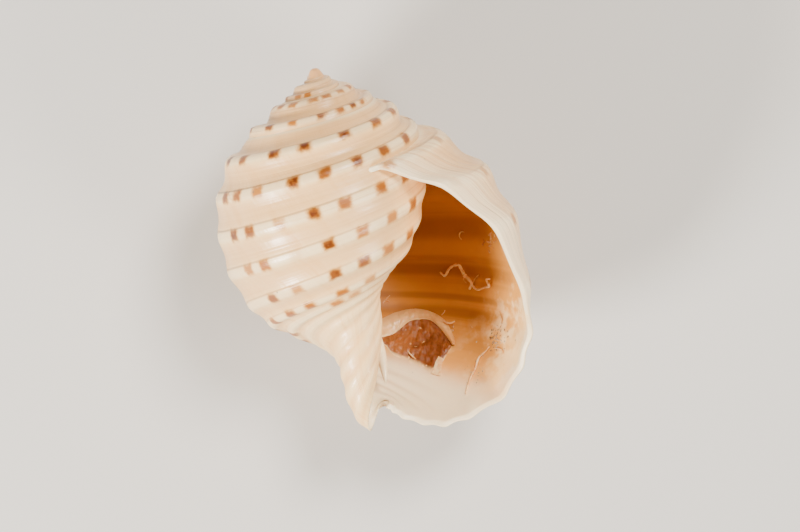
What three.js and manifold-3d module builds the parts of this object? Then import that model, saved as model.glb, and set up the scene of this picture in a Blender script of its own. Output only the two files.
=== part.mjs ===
// A large spotted tun shell, lying on its back with the aperture up.
//
// The wall is one surface wound about the shell's axis. It is drawn in whorl coordinates: "turn" runs
// along the coil, 0 where the outer lip passes the right-hand side and -1 one whorl earlier, and "rib"
// runs down a section of the whorl, 0 at the suture, 1 to 9 on the spiral ribs and on to the canal tip.
import * as THREE from 'three';
import Module from 'manifold-3d';
import { mergeVertices } from 'three/addons/utils/BufferGeometryUtils.js';

// Driving dimensions, in millimetres
const WALL = 1.7;                 // wall of the body whorl
const SPIRE_WALL = 0.75;          // thinnest wall, in the first whorls
const SUTURE_RIB = 2.25;          // where a whorl meets the one before it, counted in ribs
const SUTURE_BITE = 0.35;         // share of the wall that a suture sinks into the whorl before it
const RADIUS_STEP = 1.48;         // growth of the radius in half a turn, in the spire
const HEIGHT_STEP = 1.38;         // growth of the height in half a turn, in the spire
const EARLY_TURN = -2.5;          // the first whorls, before this turn, are narrower still
const EARLY_STEP = 1.12;          // by this factor in half a turn
const NOTCH_DEPTH = 5;            // notch at the back of the canal's end
const NOTCH_RIB = 10;             // the last spiral line that the notch doesn't reach
const FIRST_TURN = -4.5;
const BUD_RADIUS = 1.3;           // the rounded first whorl at the apex
const CORE_SLOPE = 0.054;         // radius of the solid columella for each millimetre below the apex
const CORE_LEAST = 0.8;           // its radius at the apex
const CORE_RINGS = 8;
const CORE_STRAIGHT = 82;         // how far below the apex it is an even cone
const CORE_END = [[86, 3.8], [90, 2.6], [93, 1.4], [95, 0.4]];  // its rounded end: depth and radius
const NOD_DEGREES = 7.9;          // how the axis tips: the apex up, toward the aperture's side
const LEAN_DEGREES = 11;          // how the axis leans: the apex to the left
const SETTLE_DEGREES = -6.4;      // the last roll, on to the two ribs that it rests on
const JOIN_TOLERANCE = 0.02;      // edges shorter than this are closed up where solids join
const SPOT_DEPTH = 0.7;           // how deep the ribs are flattened where the shell rests
const INSIDE_RIBS = 0.6;          // height of the ribs on the inner face, as a share of the outer
const NEAREST_AXIS = 0.15;        // no point of the wall lies nearer to the axis
const ROUND_SIDES = 14;           // sides of the bud and the columella
const GROUND = [300, 300, 20];    // block that takes the worn spot off, larger than the shell

// Each spiral line of the whorl: [radius, distance below the apex] at the turns in KEY_TURNS, and the
// height of its rib on the body whorl
const KEY_TURNS = [-1.5, -1, -0.5, 0, 0.25];
const SPIRALS = [
  { rib: 1, crest: 0.5, keys: [[12.8, 9.0], [19.5, 14.3], [28.4, 20.8], [31.2, 24.8], [29.6, 28.7]] },
  { rib: 2, crest: 0.9, keys: [[20.2, 13.6], [24.5, 20.7], [33.3, 30.8], [41.8, 36.3], [34.7, 34.2]] },
  { rib: 3, crest: 0.9, keys: [[22.0, 19.7], [25.5, 29.2], [34.9, 41.7], [47.0, 50.8], [43.0, 45.7]] },
  { rib: 4, crest: 0.9, keys: [[18.7, 25.6], [23.9, 37.6], [34.0, 52.6], [47.2, 69.6], [46.0, 62.8]] },
  { rib: 5, crest: 0.9, keys: [[14.6, 31.1], [21.0, 45.3], [30.1, 62.4], [45.2, 83.6], [44.6, 80.0]] },
  { rib: 6, crest: 0.9, keys: [[11.8, 35.0], [17.0, 51.6], [25.2, 68.3], [41.0, 93.3], [40.6, 90.8]] },
  { rib: 7, crest: 0.8, keys: [[9.1, 37.5], [13.2, 54.5], [19.9, 70.9], [34.3, 101.8], [34.3, 101.8]] },
  { rib: 8, crest: 0.8, keys: [[6.9, 39.4], [10.1, 57.3], [15.3, 73.0], [24.2, 105.8], [24.2, 105.8]] },
  { rib: 9, crest: 0.7, keys: [[5.1, 41.0], [7.6, 60.0], [12.0, 76.0], [16.6, 106.1], [16.6, 106.1]] },
  { rib: 10, crest: 0.5, keys: [[3.9, 42.5], [6.2, 62.5], [9.6, 80.6], [10.7, 103.7], [10.7, 103.7]] },
  { rib: 11, crest: 0.5, keys: [[3.5, 44.5], [5.6, 65.5], [9.1, 86.2], [5.6, 100.5], [5.6, 100.5]] },
  { rib: 12, crest: 0.4, keys: [[3.2, 46.5], [5.2, 69.0], [8.8, 92.8], [3.2, 98.4], [3.2, 98.4]] },
  { rib: 13, crest: 0.3, keys: [[3.0, 48.5], [4.6, 71.5], [7.1, 99.0], [2.2, 97.5], [2.2, 97.5]] },
  { rib: 14, crest: 0.0, keys: [[2.8, 50.5], [3.6, 74.0], [4.2, 102.2], [1.6, 97.2], [1.6, 97.2]] },
];

// Depth of the hollow slopes from the suture to the first rib, on to the second and on to the third, on a
// whorl of the body whorl's size, at the turns in KEY_TURNS
const HOLLOWS = [
  [0.2, 1.25, 1.1, 0, 0],
  [3.3, 2.6, 0.9, 1, 0.8],
  [0, 0, 0, 0.6, 0.5],
];
const HOLLOW_LEANS = [1.5, 1.3, 1];   // above 1, the deepest line lies nearer the lower rib

const LAST_RAISED_RIB = 9;
const LAST_RIB = 14;

// The outer lip: how many degrees past the right-hand side it ends, from the suture to the canal tip
const LIP_DEGREES = [70, 62, 42, 29, 18, 5, 0, -4, -6, -4, 0, 6, 10, 12, 12];

// Stretches of the coil, from the lip back to the apex, in turns, with the steps along each
const STEPS_PER_RIB = 2;
const STRETCHES = [
  { from: -0.35, to: 0, steps: 10 },
  { from: -0.7, to: -0.35, steps: 10 },
  { from: -1.05, to: -0.7, steps: 10 },
  { from: -1.4, to: -1.05, steps: 7 },
  { from: -1.8, to: -1.4, steps: 7 },
  { from: -2.3, to: -1.8, steps: 7 },
  { from: -2.9, to: -2.3, steps: 7 },
  { from: -3.6, to: -2.9, steps: 7 },
  { from: FIRST_TURN, to: -3.6, steps: 7 },
];

const wasm = await Module();
wasm.setup();

/** Value at x of the smooth curve through the points (xs[i], ys[i]), straight on past its ends. */
function smoothThrough(xs, ys, x) {
  const last = xs.length - 1;
  const slope = (i) => {
    const a = Math.max(i - 1, 0);
    const b = Math.min(i + 1, last);
    return (ys[b] - ys[a]) / (xs[b] - xs[a]);
  };
  if (x <= xs[0]) return ys[0] + slope(0) * (x - xs[0]);
  if (x >= xs[last]) return ys[last] + slope(last) * (x - xs[last]);
  let i = 0;
  while (x > xs[i + 1]) i += 1;
  const width = xs[i + 1] - xs[i];
  const s = (x - xs[i]) / width;
  const s2 = s * s;
  const s3 = s2 * s;
  return (2 * s3 - 3 * s2 + 1) * ys[i] + (s3 - 2 * s2 + s) * width * slope(i)
    + (3 * s2 - 2 * s3) * ys[i + 1] + (s3 - s2) * width * slope(i + 1);
}

/** [radius, distance below the apex] of one spiral line at a turn. */
function spiralAt(spiral, turn) {
  const before = Math.min(turn - KEY_TURNS[0], 0) * 2;
  const inKeys = Math.max(turn, KEY_TURNS[0]);
  const [radius, height] = [0, 1].map((k) => {
    const logs = spiral.keys.map((key) => Math.log(key[k]));
    const step = k === 0 ? RADIUS_STEP : HEIGHT_STEP;
    return Math.exp(smoothThrough(KEY_TURNS, logs, inKeys)) * step ** before;
  });
  const early = EARLY_STEP ** (Math.min(turn - EARLY_TURN, 0) * 2);
  return [radius * early, height - notch(spiral.rib, turn)];
}

/** How far the canal's end is cut back: most on the last line, halfway from the left side to the lip. */
function notch(rib, turn) {
  const across = Math.sin(THREE.MathUtils.clamp((turn + 0.5) * 2, 0, 1) * Math.PI) ** 2;
  const down = Math.max((rib - NOTCH_RIB) / (LAST_RIB - NOTCH_RIB), 0) ** 2;
  return NOTCH_DEPTH * across * down;
}

/** How much a turn's section is smaller than the body whorl's. */
function scaleAt(turn) {
  return spiralAt(SPIRALS[1], turn)[0] / SPIRALS[1].keys[2][0];
}

/** How much lower a turn's ribs are than the body whorl's. */
function ribScaleAt(turn) {
  return Math.min(scaleAt(turn), 1);
}

/** Wall thickness at a turn. */
function wallAt(turn) {
  return THREE.MathUtils.clamp(WALL * scaleAt(turn), SPIRE_WALL, WALL);
}

/** Drop below the rib crests: nothing on a crest, the rib's full height between two ribs. */
function furrow(rib) {
  const nearest = THREE.MathUtils.clamp(Math.round(rib), 1, LAST_RIB);
  const away = Math.min(Math.abs(rib - nearest), 0.5);
  const low = SPIRALS[Math.max(Math.floor(Math.min(rib, LAST_RIB - 0.01)) - 1, 0)].crest;
  const high = SPIRALS[Math.min(Math.ceil(Math.max(rib, 1)), LAST_RIB) - 1].crest;
  return (low + high) / 2 * Math.sin(away * Math.PI) ** 2;
}

/** Depth of the hollow slopes above the first three ribs, which stand up as keels in the spire. */
function hollow(rib, turn) {
  const inKeys = THREE.MathUtils.clamp(turn, KEY_TURNS[0], KEY_TURNS[KEY_TURNS.length - 1]);
  const depths = HOLLOWS.map((depthsAtKeys, i) => {
    const along = THREE.MathUtils.clamp(rib - i, 0, 1) ** HOLLOW_LEANS[i];
    return smoothThrough(KEY_TURNS, depthsAtKeys, inKeys) * Math.sin(along * Math.PI) ** 2;
  });
  return depths.reduce((sum, depth) => sum + depth) * scaleAt(turn);
}

/** Section point [radius, distance below the apex] at a turn, with no ribs. */
function sectionPoint(rib, turn) {
  const ribs = SPIRALS.map((spiral) => spiral.rib);
  const points = SPIRALS.map((spiral) => spiralAt(spiral, turn));
  const start = rib < 2 ? sutureAt(turn) : null;
  if (start) {
    ribs.unshift(0);
    points.unshift(start);
  }
  return [0, 1].map((k) => smoothThrough(ribs, points.map((point) => point[k]), rib));
}

/** Where a whorl starts: sunk in the wall of the whorl before it. */
function sutureAt(turn) {
  const [radius, height] = sectionPoint(SUTURE_RIB, turn - 1);
  const bite = wallAt(turn - 1) * SUTURE_BITE + furrow(SUTURE_RIB) * ribScaleAt(turn - 1);
  return [radius - bite, height];
}

/** Point of the wall's outer face (depth 0) or inner face (depth 1) in the shell's own frame. */
function wallPoint(rib, turn, depth) {
  const [radius, height] = sectionPoint(rib, turn);
  const nudge = 0.02;
  const a = sectionPoint(rib - nudge, turn);
  const b = sectionPoint(rib + nudge, turn);
  const length = Math.hypot(b[0] - a[0], b[1] - a[1]);
  const outward = [(b[1] - a[1]) / length, (a[0] - b[0]) / length];
  const low = furrow(rib) * ribScaleAt(turn) + hollow(rib, turn);
  const drop = -low * THREE.MathUtils.lerp(1, INSIDE_RIBS, depth) - wallAt(turn) * depth;
  const r = Math.max(radius + outward[0] * drop, NEAREST_AXIS);
  const h = height + outward[1] * drop;
  const angle = turn * 2 * Math.PI;
  return new THREE.Vector3(r * Math.cos(angle), -h, r * Math.sin(angle));
}

/** Turn at which the lip ends, for a place on the section. */
function lipTurn(rib) {
  return smoothThrough(LIP_DEGREES.map((degrees, i) => i), LIP_DEGREES, rib) / 360;
}

/** Ribbon of wall between two turns as a closed geometry; the last stretch ends on the lip. */
function wallStretch({ from, to, steps }) {
  const columns = [];
  for (let rib = 0; rib < LAST_RIB; rib += 1) {
    const parts = rib < LAST_RAISED_RIB ? STEPS_PER_RIB : 1;
    for (let i = 0; i < parts; i += 1) columns.push(rib + i / parts);
  }
  columns.push(LAST_RIB);
  const rows = columns.length;
  const positions = [];
  for (let step = 0; step <= steps; step += 1) {
    for (const depth of [0, 1]) {
      for (const rib of columns) {
        const end = to === 0 ? lipTurn(rib) : to;
        const turn = THREE.MathUtils.lerp(from, end, step / steps);
        positions.push(...wallPoint(rib, turn, depth));
      }
    }
  }
  const at = (step, depth, row) => (step * 2 + depth) * rows + row;
  const faces = [];
  const quad = (a, b, c, d) => faces.push(a, c, b, a, d, c);
  for (let step = 0; step < steps; step += 1) {
    for (let row = 0; row < rows - 1; row += 1) {
      quad(at(step, 0, row), at(step, 0, row + 1), at(step + 1, 0, row + 1), at(step + 1, 0, row));
      quad(at(step, 1, row), at(step + 1, 1, row), at(step + 1, 1, row + 1), at(step, 1, row + 1));
    }
    quad(at(step, 0, 0), at(step + 1, 0, 0), at(step + 1, 1, 0), at(step, 1, 0));
    quad(at(step, 0, rows - 1), at(step, 1, rows - 1), at(step + 1, 1, rows - 1), at(step + 1, 0, rows - 1));
  }
  for (let row = 0; row < rows - 1; row += 1) {
    quad(at(0, 0, row), at(0, 1, row), at(0, 1, row + 1), at(0, 0, row + 1));
    quad(at(steps, 0, row), at(steps, 0, row + 1), at(steps, 1, row + 1), at(steps, 1, row));
  }
  const geometry = new THREE.BufferGeometry();
  geometry.setAttribute('position', new THREE.Float32BufferAttribute(positions, 3));
  geometry.setIndex(faces);
  return geometry;
}

/** Rounded first whorl at the apex. */
function apexBud() {
  const [, height] = spiralAt(SPIRALS[1], FIRST_TURN);
  const geometry = new THREE.SphereGeometry(BUD_RADIUS, ROUND_SIDES, ROUND_SIDES);
  geometry.translate(0, -height, 0);
  return geometry;
}

/** Solid columella about the axis, from the bud down. */
function columellaCore() {
  const [, top] = spiralAt(SPIRALS[1], FIRST_TURN);
  const rings = [];
  for (let i = 0; i <= CORE_RINGS; i += 1) {
    const depth = THREE.MathUtils.lerp(top, CORE_STRAIGHT, i / CORE_RINGS);
    rings.push([depth, Math.max(depth * CORE_SLOPE, CORE_LEAST)]);
  }
  rings.push(...CORE_END);
  const profile = rings.reverse().map(([depth, radius]) => new THREE.Vector2(radius, -depth));
  profile.unshift(new THREE.Vector2(0, profile[0].y));
  profile.push(new THREE.Vector2(0, -top));
  return new THREE.LatheGeometry(profile, ROUND_SIDES);
}

/** A closed geometry as a solid that can be joined. */
function solidOf(geometry) {
  const bare = geometry.clone();
  bare.deleteAttribute('normal');
  bare.deleteAttribute('uv');
  const merged = mergeVertices(bare, 1e-4);
  return new wasm.Manifold(new wasm.Mesh({
    numProp: 3,
    tolerance: JOIN_TOLERANCE,
    vertProperties: new Float32Array(merged.attributes.position.array),
    triVerts: new Uint32Array(merged.index.array),
  }));
}

/** A solid as a geometry with flat-shaded faces. */
function geometryOf(solid) {
  const mesh = solid.getMesh();
  const geometry = new THREE.BufferGeometry();
  geometry.setAttribute('position', new THREE.Float32BufferAttribute(mesh.vertProperties, 3));
  geometry.setIndex(Array.from(mesh.triVerts));
  geometry.computeVertexNormals();
  geometry.computeBoundingBox();
  return geometry;
}

/** Turns the shell from its own frame, axis upright and aperture ahead, to how it lies. */
function restTurn() {
  const turn = new THREE.Matrix4().makeRotationX(THREE.MathUtils.degToRad(SETTLE_DEGREES));
  turn.multiply(new THREE.Matrix4().makeRotationZ(THREE.MathUtils.degToRad(LEAN_DEGREES)));
  turn.multiply(new THREE.Matrix4().makeRotationX(THREE.MathUtils.degToRad(NOD_DEGREES)));
  return turn;
}

/** The block that lies under the shell and takes the worn spot off its ribs. */
function underside(lowest) {
  const block = new THREE.BoxGeometry(...GROUND);
  block.translate(0, 0, lowest + SPOT_DEPTH - GROUND[2] / 2);
  return block;
}

const turned = [...STRETCHES.map(wallStretch), apexBud(), columellaCore()];
for (const geometry of turned) geometry.applyMatrix4(restTurn());
const wound = turned.map(solidOf).reduce((sum, piece) => sum.add(piece));
const lowest = geometryOf(wound).boundingBox.min.z;
const settled = geometryOf(wound.subtract(solidOf(underside(lowest))));
const box = settled.boundingBox;
settled.translate(-(box.min.x + box.max.x) / 2, -(box.min.y + box.max.y) / 2, -box.min.z);

const shell = new THREE.Mesh(
  settled,
  new THREE.MeshStandardMaterial({ color: 0xf0e4d2, roughness: 0.35, metalness: 0 }),
);
shell.name = 'shell';

const part = new THREE.Group();
part.add(shell);
export default part;
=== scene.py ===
"""A large spotted tun shell, lying on its back with its mouth up.

The wall is one surface wound about the shell's axis, drawn in whorl coordinates: "turn" runs along the
coil, 0 where the outer lip passes the right-hand side and -1 one whorl earlier, and "rib" runs down a
section of the whorl, 0 at the suture, 1 to 9 on the spiral ribs and on to the canal tip. The colours
are worked out from the same coordinates.
"""
import logging
import math
from dataclasses import dataclass, field
from enum import Enum

import bpy
import numpy as np
from mathutils import Matrix, Vector, noise
from mathutils.bvhtree import BVHTree


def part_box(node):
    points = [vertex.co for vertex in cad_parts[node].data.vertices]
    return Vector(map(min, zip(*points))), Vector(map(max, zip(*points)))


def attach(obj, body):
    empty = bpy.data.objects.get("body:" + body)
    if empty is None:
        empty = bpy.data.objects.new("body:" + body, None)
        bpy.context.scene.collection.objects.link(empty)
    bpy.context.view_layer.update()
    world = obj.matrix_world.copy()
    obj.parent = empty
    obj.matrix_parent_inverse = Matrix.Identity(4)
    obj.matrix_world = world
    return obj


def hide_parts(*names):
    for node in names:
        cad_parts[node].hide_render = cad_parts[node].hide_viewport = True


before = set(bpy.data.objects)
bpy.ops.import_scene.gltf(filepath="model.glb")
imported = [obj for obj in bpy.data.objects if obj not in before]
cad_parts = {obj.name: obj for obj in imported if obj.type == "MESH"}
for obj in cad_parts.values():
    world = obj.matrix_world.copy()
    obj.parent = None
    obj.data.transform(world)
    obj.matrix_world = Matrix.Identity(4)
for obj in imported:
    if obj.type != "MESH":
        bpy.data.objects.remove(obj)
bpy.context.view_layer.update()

logging.basicConfig(level=logging.INFO, format="%(name)s: %(message)s")
log = logging.getLogger("shell")

MM = 0.001
NODE = "shell"
BODY = "root"

Colour = tuple[float, float, float, float]
Socket = bpy.types.NodeSocket
Feed = Socket | float | tuple[float, ...]
Pixel = tuple[float, float]

# The coil's law: a rib's number, the height of its crest, and its radius and depth at the key turns
KEY_TURNS = (-1.5, -1.0, -0.5, 0.0, 0.25)
SPIRALS = (
    (1, 0.5, ((12.8, 9.0), (19.5, 14.3), (28.4, 20.8), (31.2, 24.8), (29.6, 28.7))),
    (2, 0.9, ((20.2, 13.6), (24.5, 20.7), (33.3, 30.8), (41.8, 36.3), (34.7, 34.2))),
    (3, 0.9, ((22.0, 19.7), (25.5, 29.2), (34.9, 41.7), (47.0, 50.8), (43.0, 45.7))),
    (4, 0.9, ((18.7, 25.6), (23.9, 37.6), (34.0, 52.6), (47.2, 69.6), (46.0, 62.8))),
    (5, 0.9, ((14.6, 31.1), (21.0, 45.3), (30.1, 62.4), (45.2, 83.6), (44.6, 80.0))),
    (6, 0.9, ((11.8, 35.0), (17.0, 51.6), (25.2, 68.3), (41.0, 93.3), (40.6, 90.8))),
    (7, 0.8, ((9.1, 37.5), (13.2, 54.5), (19.9, 70.9), (34.3, 101.8), (34.3, 101.8))),
    (8, 0.8, ((6.9, 39.4), (10.1, 57.3), (15.3, 73.0), (24.2, 105.8), (24.2, 105.8))),
    (9, 0.7, ((5.1, 41.0), (7.6, 60.0), (12.0, 76.0), (16.6, 106.1), (16.6, 106.1))),
    (10, 0.5, ((3.9, 42.5), (6.2, 62.5), (9.6, 80.6), (10.7, 103.7), (10.7, 103.7))),
    (11, 0.5, ((3.5, 44.5), (5.6, 65.5), (9.1, 86.2), (5.6, 100.5), (5.6, 100.5))),
    (12, 0.4, ((3.2, 46.5), (5.2, 69.0), (8.8, 92.8), (3.2, 98.4), (3.2, 98.4))),
    (13, 0.3, ((3.0, 48.5), (4.6, 71.5), (7.1, 99.0), (2.2, 97.5), (2.2, 97.5))),
    (14, 0.0, ((2.8, 50.5), (3.6, 74.0), (4.2, 102.2), (1.6, 97.2), (1.6, 97.2))),
)
# Radius of the second rib half a turn back from the lip, by which the sections' sizes are compared
BODY_RADIUS = SPIRALS[1][2][2][0]
# The hollow slopes above the first three ribs: how far down each is deepest, and its depths at the key turns
HOLLOWS = (
    (1.5, (0.2, 1.25, 1.1, 0.0, 0.0)),
    (1.3, (3.3, 2.6, 0.9, 1.0, 0.8)),
    (1.0, (0.0, 0.0, 0.0, 0.6, 0.5)),
)
# How far past the right-hand side the lip ends at each rib, in degrees, and the turn that the wall starts at
LIP_DEGREES = (70, 62, 42, 29, 18, 5, 0, -4, -6, -4, 0, 6, 10, 12, 12)
FIRST_TURN = -4.5

# Marks along the coil by which the wall is laid where the frame's lies: the last stretch of turns, and all
LAST_STRETCH = -0.35
STRETCH_STEPS = 10
FRAME_TURNS = tuple(LAST_STRETCH * step / STRETCH_STEPS for step in range(4 * STRETCH_STEPS + 1))
FINE_RIBS = 9

# A distance in millimetres that is clear of every spot
CLEAR_OF_SPOTS = 50.0


def cubic(s: np.ndarray, start: np.ndarray, start_slope: np.ndarray, end: np.ndarray,
          end_slope: np.ndarray) -> np.ndarray:
    """Smooth cubic from one value to the next.

    Args:
        s: How far along, from 0 to 1.
        start: Value at the start.
        start_slope: Slope at the start.
        end: Value at the end.
        end_slope: Slope at the end.

    Returns:
        The values.
    """
    return ((2 * s**3 - 3 * s**2 + 1) * start + (s**3 - 2 * s**2 + s) * start_slope
            + (3 * s**2 - 2 * s**3) * end + (s**3 - s**2) * end_slope)


def unit(vectors: np.ndarray) -> np.ndarray:
    """Rows of an array brought to a length of 1."""
    return vectors / np.maximum(np.linalg.norm(vectors, axis=1), 1e-9)[:, None]


def smooth_through(xs: np.ndarray, ys: np.ndarray, x: np.ndarray) -> np.ndarray:
    """Smooth curve through points, straight on past its ends.

    Args:
        xs: Places of the points, rising.
        ys: Values at the points, one row for each place.
        x: Places to read.

    Returns:
        One value for each place in x, with the trailing shape of ys.
    """
    xs = np.asarray(xs, float)
    ys = np.asarray(ys, float)
    x = np.asarray(x, float)
    low = np.maximum(np.arange(len(xs)) - 1, 0)
    high = np.minimum(np.arange(len(xs)) + 1, len(xs) - 1)
    extra = (1,) * (ys.ndim - 1)
    slope = (ys[high] - ys[low]) / (xs[high] - xs[low]).reshape(-1, *extra)
    i = np.clip(np.searchsorted(xs, x, side="right") - 1, 0, len(xs) - 2)
    width = (xs[i + 1] - xs[i]).reshape(*x.shape, *extra)
    inner = np.clip(x, xs[0], xs[-1])
    s = ((inner - xs[i]).reshape(*x.shape, *extra)) / width
    value = cubic(s, ys[i], width * slope[i], ys[i + 1], width * slope[i + 1])
    beyond = (x - inner).reshape(*x.shape, *extra)
    end_slope = np.where(beyond < 0, slope[0], slope[-1])
    return value + beyond * end_slope


@dataclass
class Coil:
    """The law that the whole wall is wound by.

    Sizes are in millimetres in the shell's own frame: X to the right, Y up the axis, the apex at 0, and
    Z toward the viewer.

    Args:
        wall: Thickness of the body whorl's wall.
        spire_wall: Least thickness, in the spire.
        suture_rib: Place on the whorl before it at which a whorl starts.
        suture_bite: How deep it starts in that wall, as a share of the wall's thickness.
        radius_step: Growth of the radius over half a turn before the first key turn.
        height_step: Growth of the depth over half a turn before the first key turn.
        early_turn: Turn before which the radius grows faster.
        early_step: How much faster it grows there over half a turn.
        notch_from: Turn at which the notch starts; it takes half a turn.
        notch_depth: Depth of the notch in the canal.
        notch_rib: Rib from which the notch cuts.
        inside_ribs: Height of the ribs on the inner face, as a share of the outer face's.
        rim_rib: Place from which the wall is rounded off toward its last line.
        nearest_axis: Smallest radius.
        rib_width: Width of a rib's crest, as a share of the way to the next.
        last_rib: Number of the last line, at the canal's tip.
        nudge: Step down the section over which its slope is read.
        offset: Where the apex lies, set by settle_on_frame.
    """

    wall: float = 1.7
    spire_wall: float = 0.75
    suture_rib: float = 2.25
    suture_bite: float = 0.35
    radius_step: float = 1.48
    height_step: float = 1.38
    early_turn: float = -2.5
    early_step: float = 1.12
    notch_from: float = -0.5
    notch_depth: float = 5.0
    notch_rib: int = 10
    inside_ribs: float = 0.6
    rim_rib: float = 13.0
    nearest_axis: float = 0.15
    rib_width: float = 0.29
    last_rib: int = 14
    nudge: float = 0.02
    offset: Vector = field(default_factory=lambda: Vector((0, 0, 0)))

    def spirals_at(self, turn: np.ndarray) -> np.ndarray:
        """Radius and depth below the apex of every spiral line.

        Args:
            turn: Turns, a flat array.

        Returns:
            Array of turns by spirals by two.
        """
        logs = np.log(np.array([keys for _, _, keys in SPIRALS])).transpose(1, 0, 2)
        inside = np.maximum(turn, KEY_TURNS[0])
        before = np.minimum(turn - KEY_TURNS[0], 0) * 2
        early = self.early_step ** (np.minimum(turn - self.early_turn, 0) * 2)
        steps = np.stack([self.radius_step**before * early, self.height_step**before], -1)
        points = np.exp(smooth_through(KEY_TURNS, logs, inside)) * steps[:, None, :]
        across = np.sin(np.clip((turn - self.notch_from) * 2, 0, 1) * math.pi) ** 2
        ribs = np.array([rib for rib, _, _ in SPIRALS])
        down = np.clip((ribs - self.notch_rib) / (self.last_rib - self.notch_rib), 0, 1) ** 2
        points[:, :, 1] -= self.notch_depth * across[:, None] * down[None]
        return points

    def hollow(self, rib: np.ndarray, turn: np.ndarray) -> np.ndarray:
        """Depth of the hollow slopes above the first ribs, which stand up as keels in the spire.

        Args:
            rib: Places down the section.
            turn: Turns of the same points.

        Returns:
            Depths in millimetres.
        """
        known = np.clip(turn, KEY_TURNS[0], KEY_TURNS[-1])
        total = np.zeros(rib.shape)
        for above, (lean, depths) in enumerate(HOLLOWS):
            across = np.sin(np.clip(rib - above, 0, 1) ** lean * math.pi) ** 2
            total += smooth_through(KEY_TURNS, depths, known) * across
        return total * self.scale_at(turn)

    def scale_at(self, turn: np.ndarray) -> np.ndarray:
        """How much a turn's section is smaller than the body whorl's."""
        return self.spirals_at(turn)[:, 1, 0] / BODY_RADIUS

    def rib_scale_at(self, turn: np.ndarray) -> np.ndarray:
        """How much lower or higher a turn's ribs are than the body whorl's."""
        return np.minimum(self.scale_at(turn), 1)

    def wall_at(self, turn: np.ndarray) -> np.ndarray:
        """Wall thickness at a turn."""
        return np.clip(self.wall * self.scale_at(turn), self.spire_wall, self.wall)

    def furrow(self, rib: np.ndarray) -> np.ndarray:
        """Drop below the rib crests, from nothing on a crest to the full height between two ribs.

        Args:
            rib: Places down the section.

        Returns:
            Drops in millimetres, for ribs of the body whorl's height.
        """
        crests = np.array([crest for _, crest, _ in SPIRALS])
        nearest = np.clip(np.round(rib), 1, self.last_rib)
        away = np.minimum(np.abs(rib - nearest), 0.5)
        low = crests[np.maximum(np.floor(np.minimum(rib, self.last_rib - 0.01)).astype(int) - 1, 0)]
        high = crests[np.minimum(np.ceil(np.maximum(rib, 1)).astype(int), self.last_rib) - 1]
        full = 1 - math.exp(-((0.5 / self.rib_width) ** 2))
        return (low + high) / 2 * (1 - np.exp(-((away / self.rib_width) ** 2))) / full

    def section(self, rib: np.ndarray, turn: np.ndarray, with_suture: bool = True) -> np.ndarray:
        """Section of the whorl without its ribs.

        Args:
            rib: Places down the section, a flat array.
            turn: Turns, an array of the same length.
            with_suture: Whether the section starts at the suture or at the first rib.

        Returns:
            Radius and depth below the apex of each point.
        """
        points = self.spirals_at(turn)
        ribs = np.arange(1, self.last_rib + 1, dtype=float)
        if with_suture:
            points = np.concatenate([self.suture_at(turn)[:, None, :], points], 1)
            ribs = np.concatenate([[0.0], ribs])
        low = np.clip(np.floor(rib - ribs[0]).astype(int), 0, len(ribs) - 2)
        rows = np.arange(len(rib))
        y0, y1 = points[rows, low], points[rows, low + 1]
        before = points[rows, np.maximum(low - 1, 0)]
        after = points[rows, np.minimum(low + 2, len(ribs) - 1)]
        span0 = np.where(low > 0, 2.0, 1.0)[:, None]
        span1 = np.where(low < len(ribs) - 2, 2.0, 1.0)[:, None]
        slope0 = (y1 - before) / span0
        slope1 = (after - y0) / span1
        s = (rib - ribs[0] - low)[:, None]
        return cubic(s, y0, slope0, y1, slope1)

    def suture_at(self, turn: np.ndarray) -> np.ndarray:
        """Where a whorl starts: sunk in the wall of the whorl before it.

        Args:
            turn: Turns, a flat array.

        Returns:
            Radius and depth below the apex at each turn.
        """
        earlier = turn - 1
        point = self.section(np.full_like(turn, self.suture_rib), earlier, with_suture=False)
        furrow = self.furrow(np.full_like(turn, self.suture_rib))
        ribs = self.rib_scale_at(earlier)
        point[:, 0] -= self.wall_at(earlier) * self.suture_bite + furrow * ribs
        return point

    def lip_turn(self, rib: np.ndarray) -> np.ndarray:
        """Turn at which the lip ends, for a place on the section."""
        return smooth_through(np.arange(len(LIP_DEGREES)), LIP_DEGREES, rib) / 360

    def rim(self, rib: np.ndarray) -> np.ndarray:
        """Share of the wall's thickness that is left toward the last line, where it ends in a round edge."""
        past = np.clip((rib - self.rim_rib) / (self.last_rib - self.rim_rib), 0, 1)
        return np.sqrt(1 - past**2)

    def point(self, rib: np.ndarray, turn: np.ndarray, depth: np.ndarray) -> np.ndarray:
        """Points of the wall in the shell's own frame.

        Args:
            rib: Places down the section, a flat array.
            turn: Turns, an array of the same length.
            depth: 0 on the outer face and 1 on the inner face, an array of the same length.

        Returns:
            Points, in millimetres.
        """
        middle = self.section(rib, turn)
        before = self.section(np.maximum(rib - self.nudge, 0), turn)
        after = self.section(np.minimum(rib + self.nudge, self.last_rib), turn)
        along = unit(after - before)
        ribs = self.rib_scale_at(turn)
        low = self.furrow(rib) * ribs + self.hollow(rib, turn)
        drop = -low * (1 - (1 - self.inside_ribs) * depth) - self.wall_at(turn) * self.rim(rib) * depth
        r = np.maximum(middle[:, 0] + along[:, 1] * drop, self.nearest_axis)
        h = middle[:, 1] - along[:, 0] * drop
        angle = turn * 2 * math.pi
        return np.stack([r * np.cos(angle), -h, r * np.sin(angle)], -1)


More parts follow.
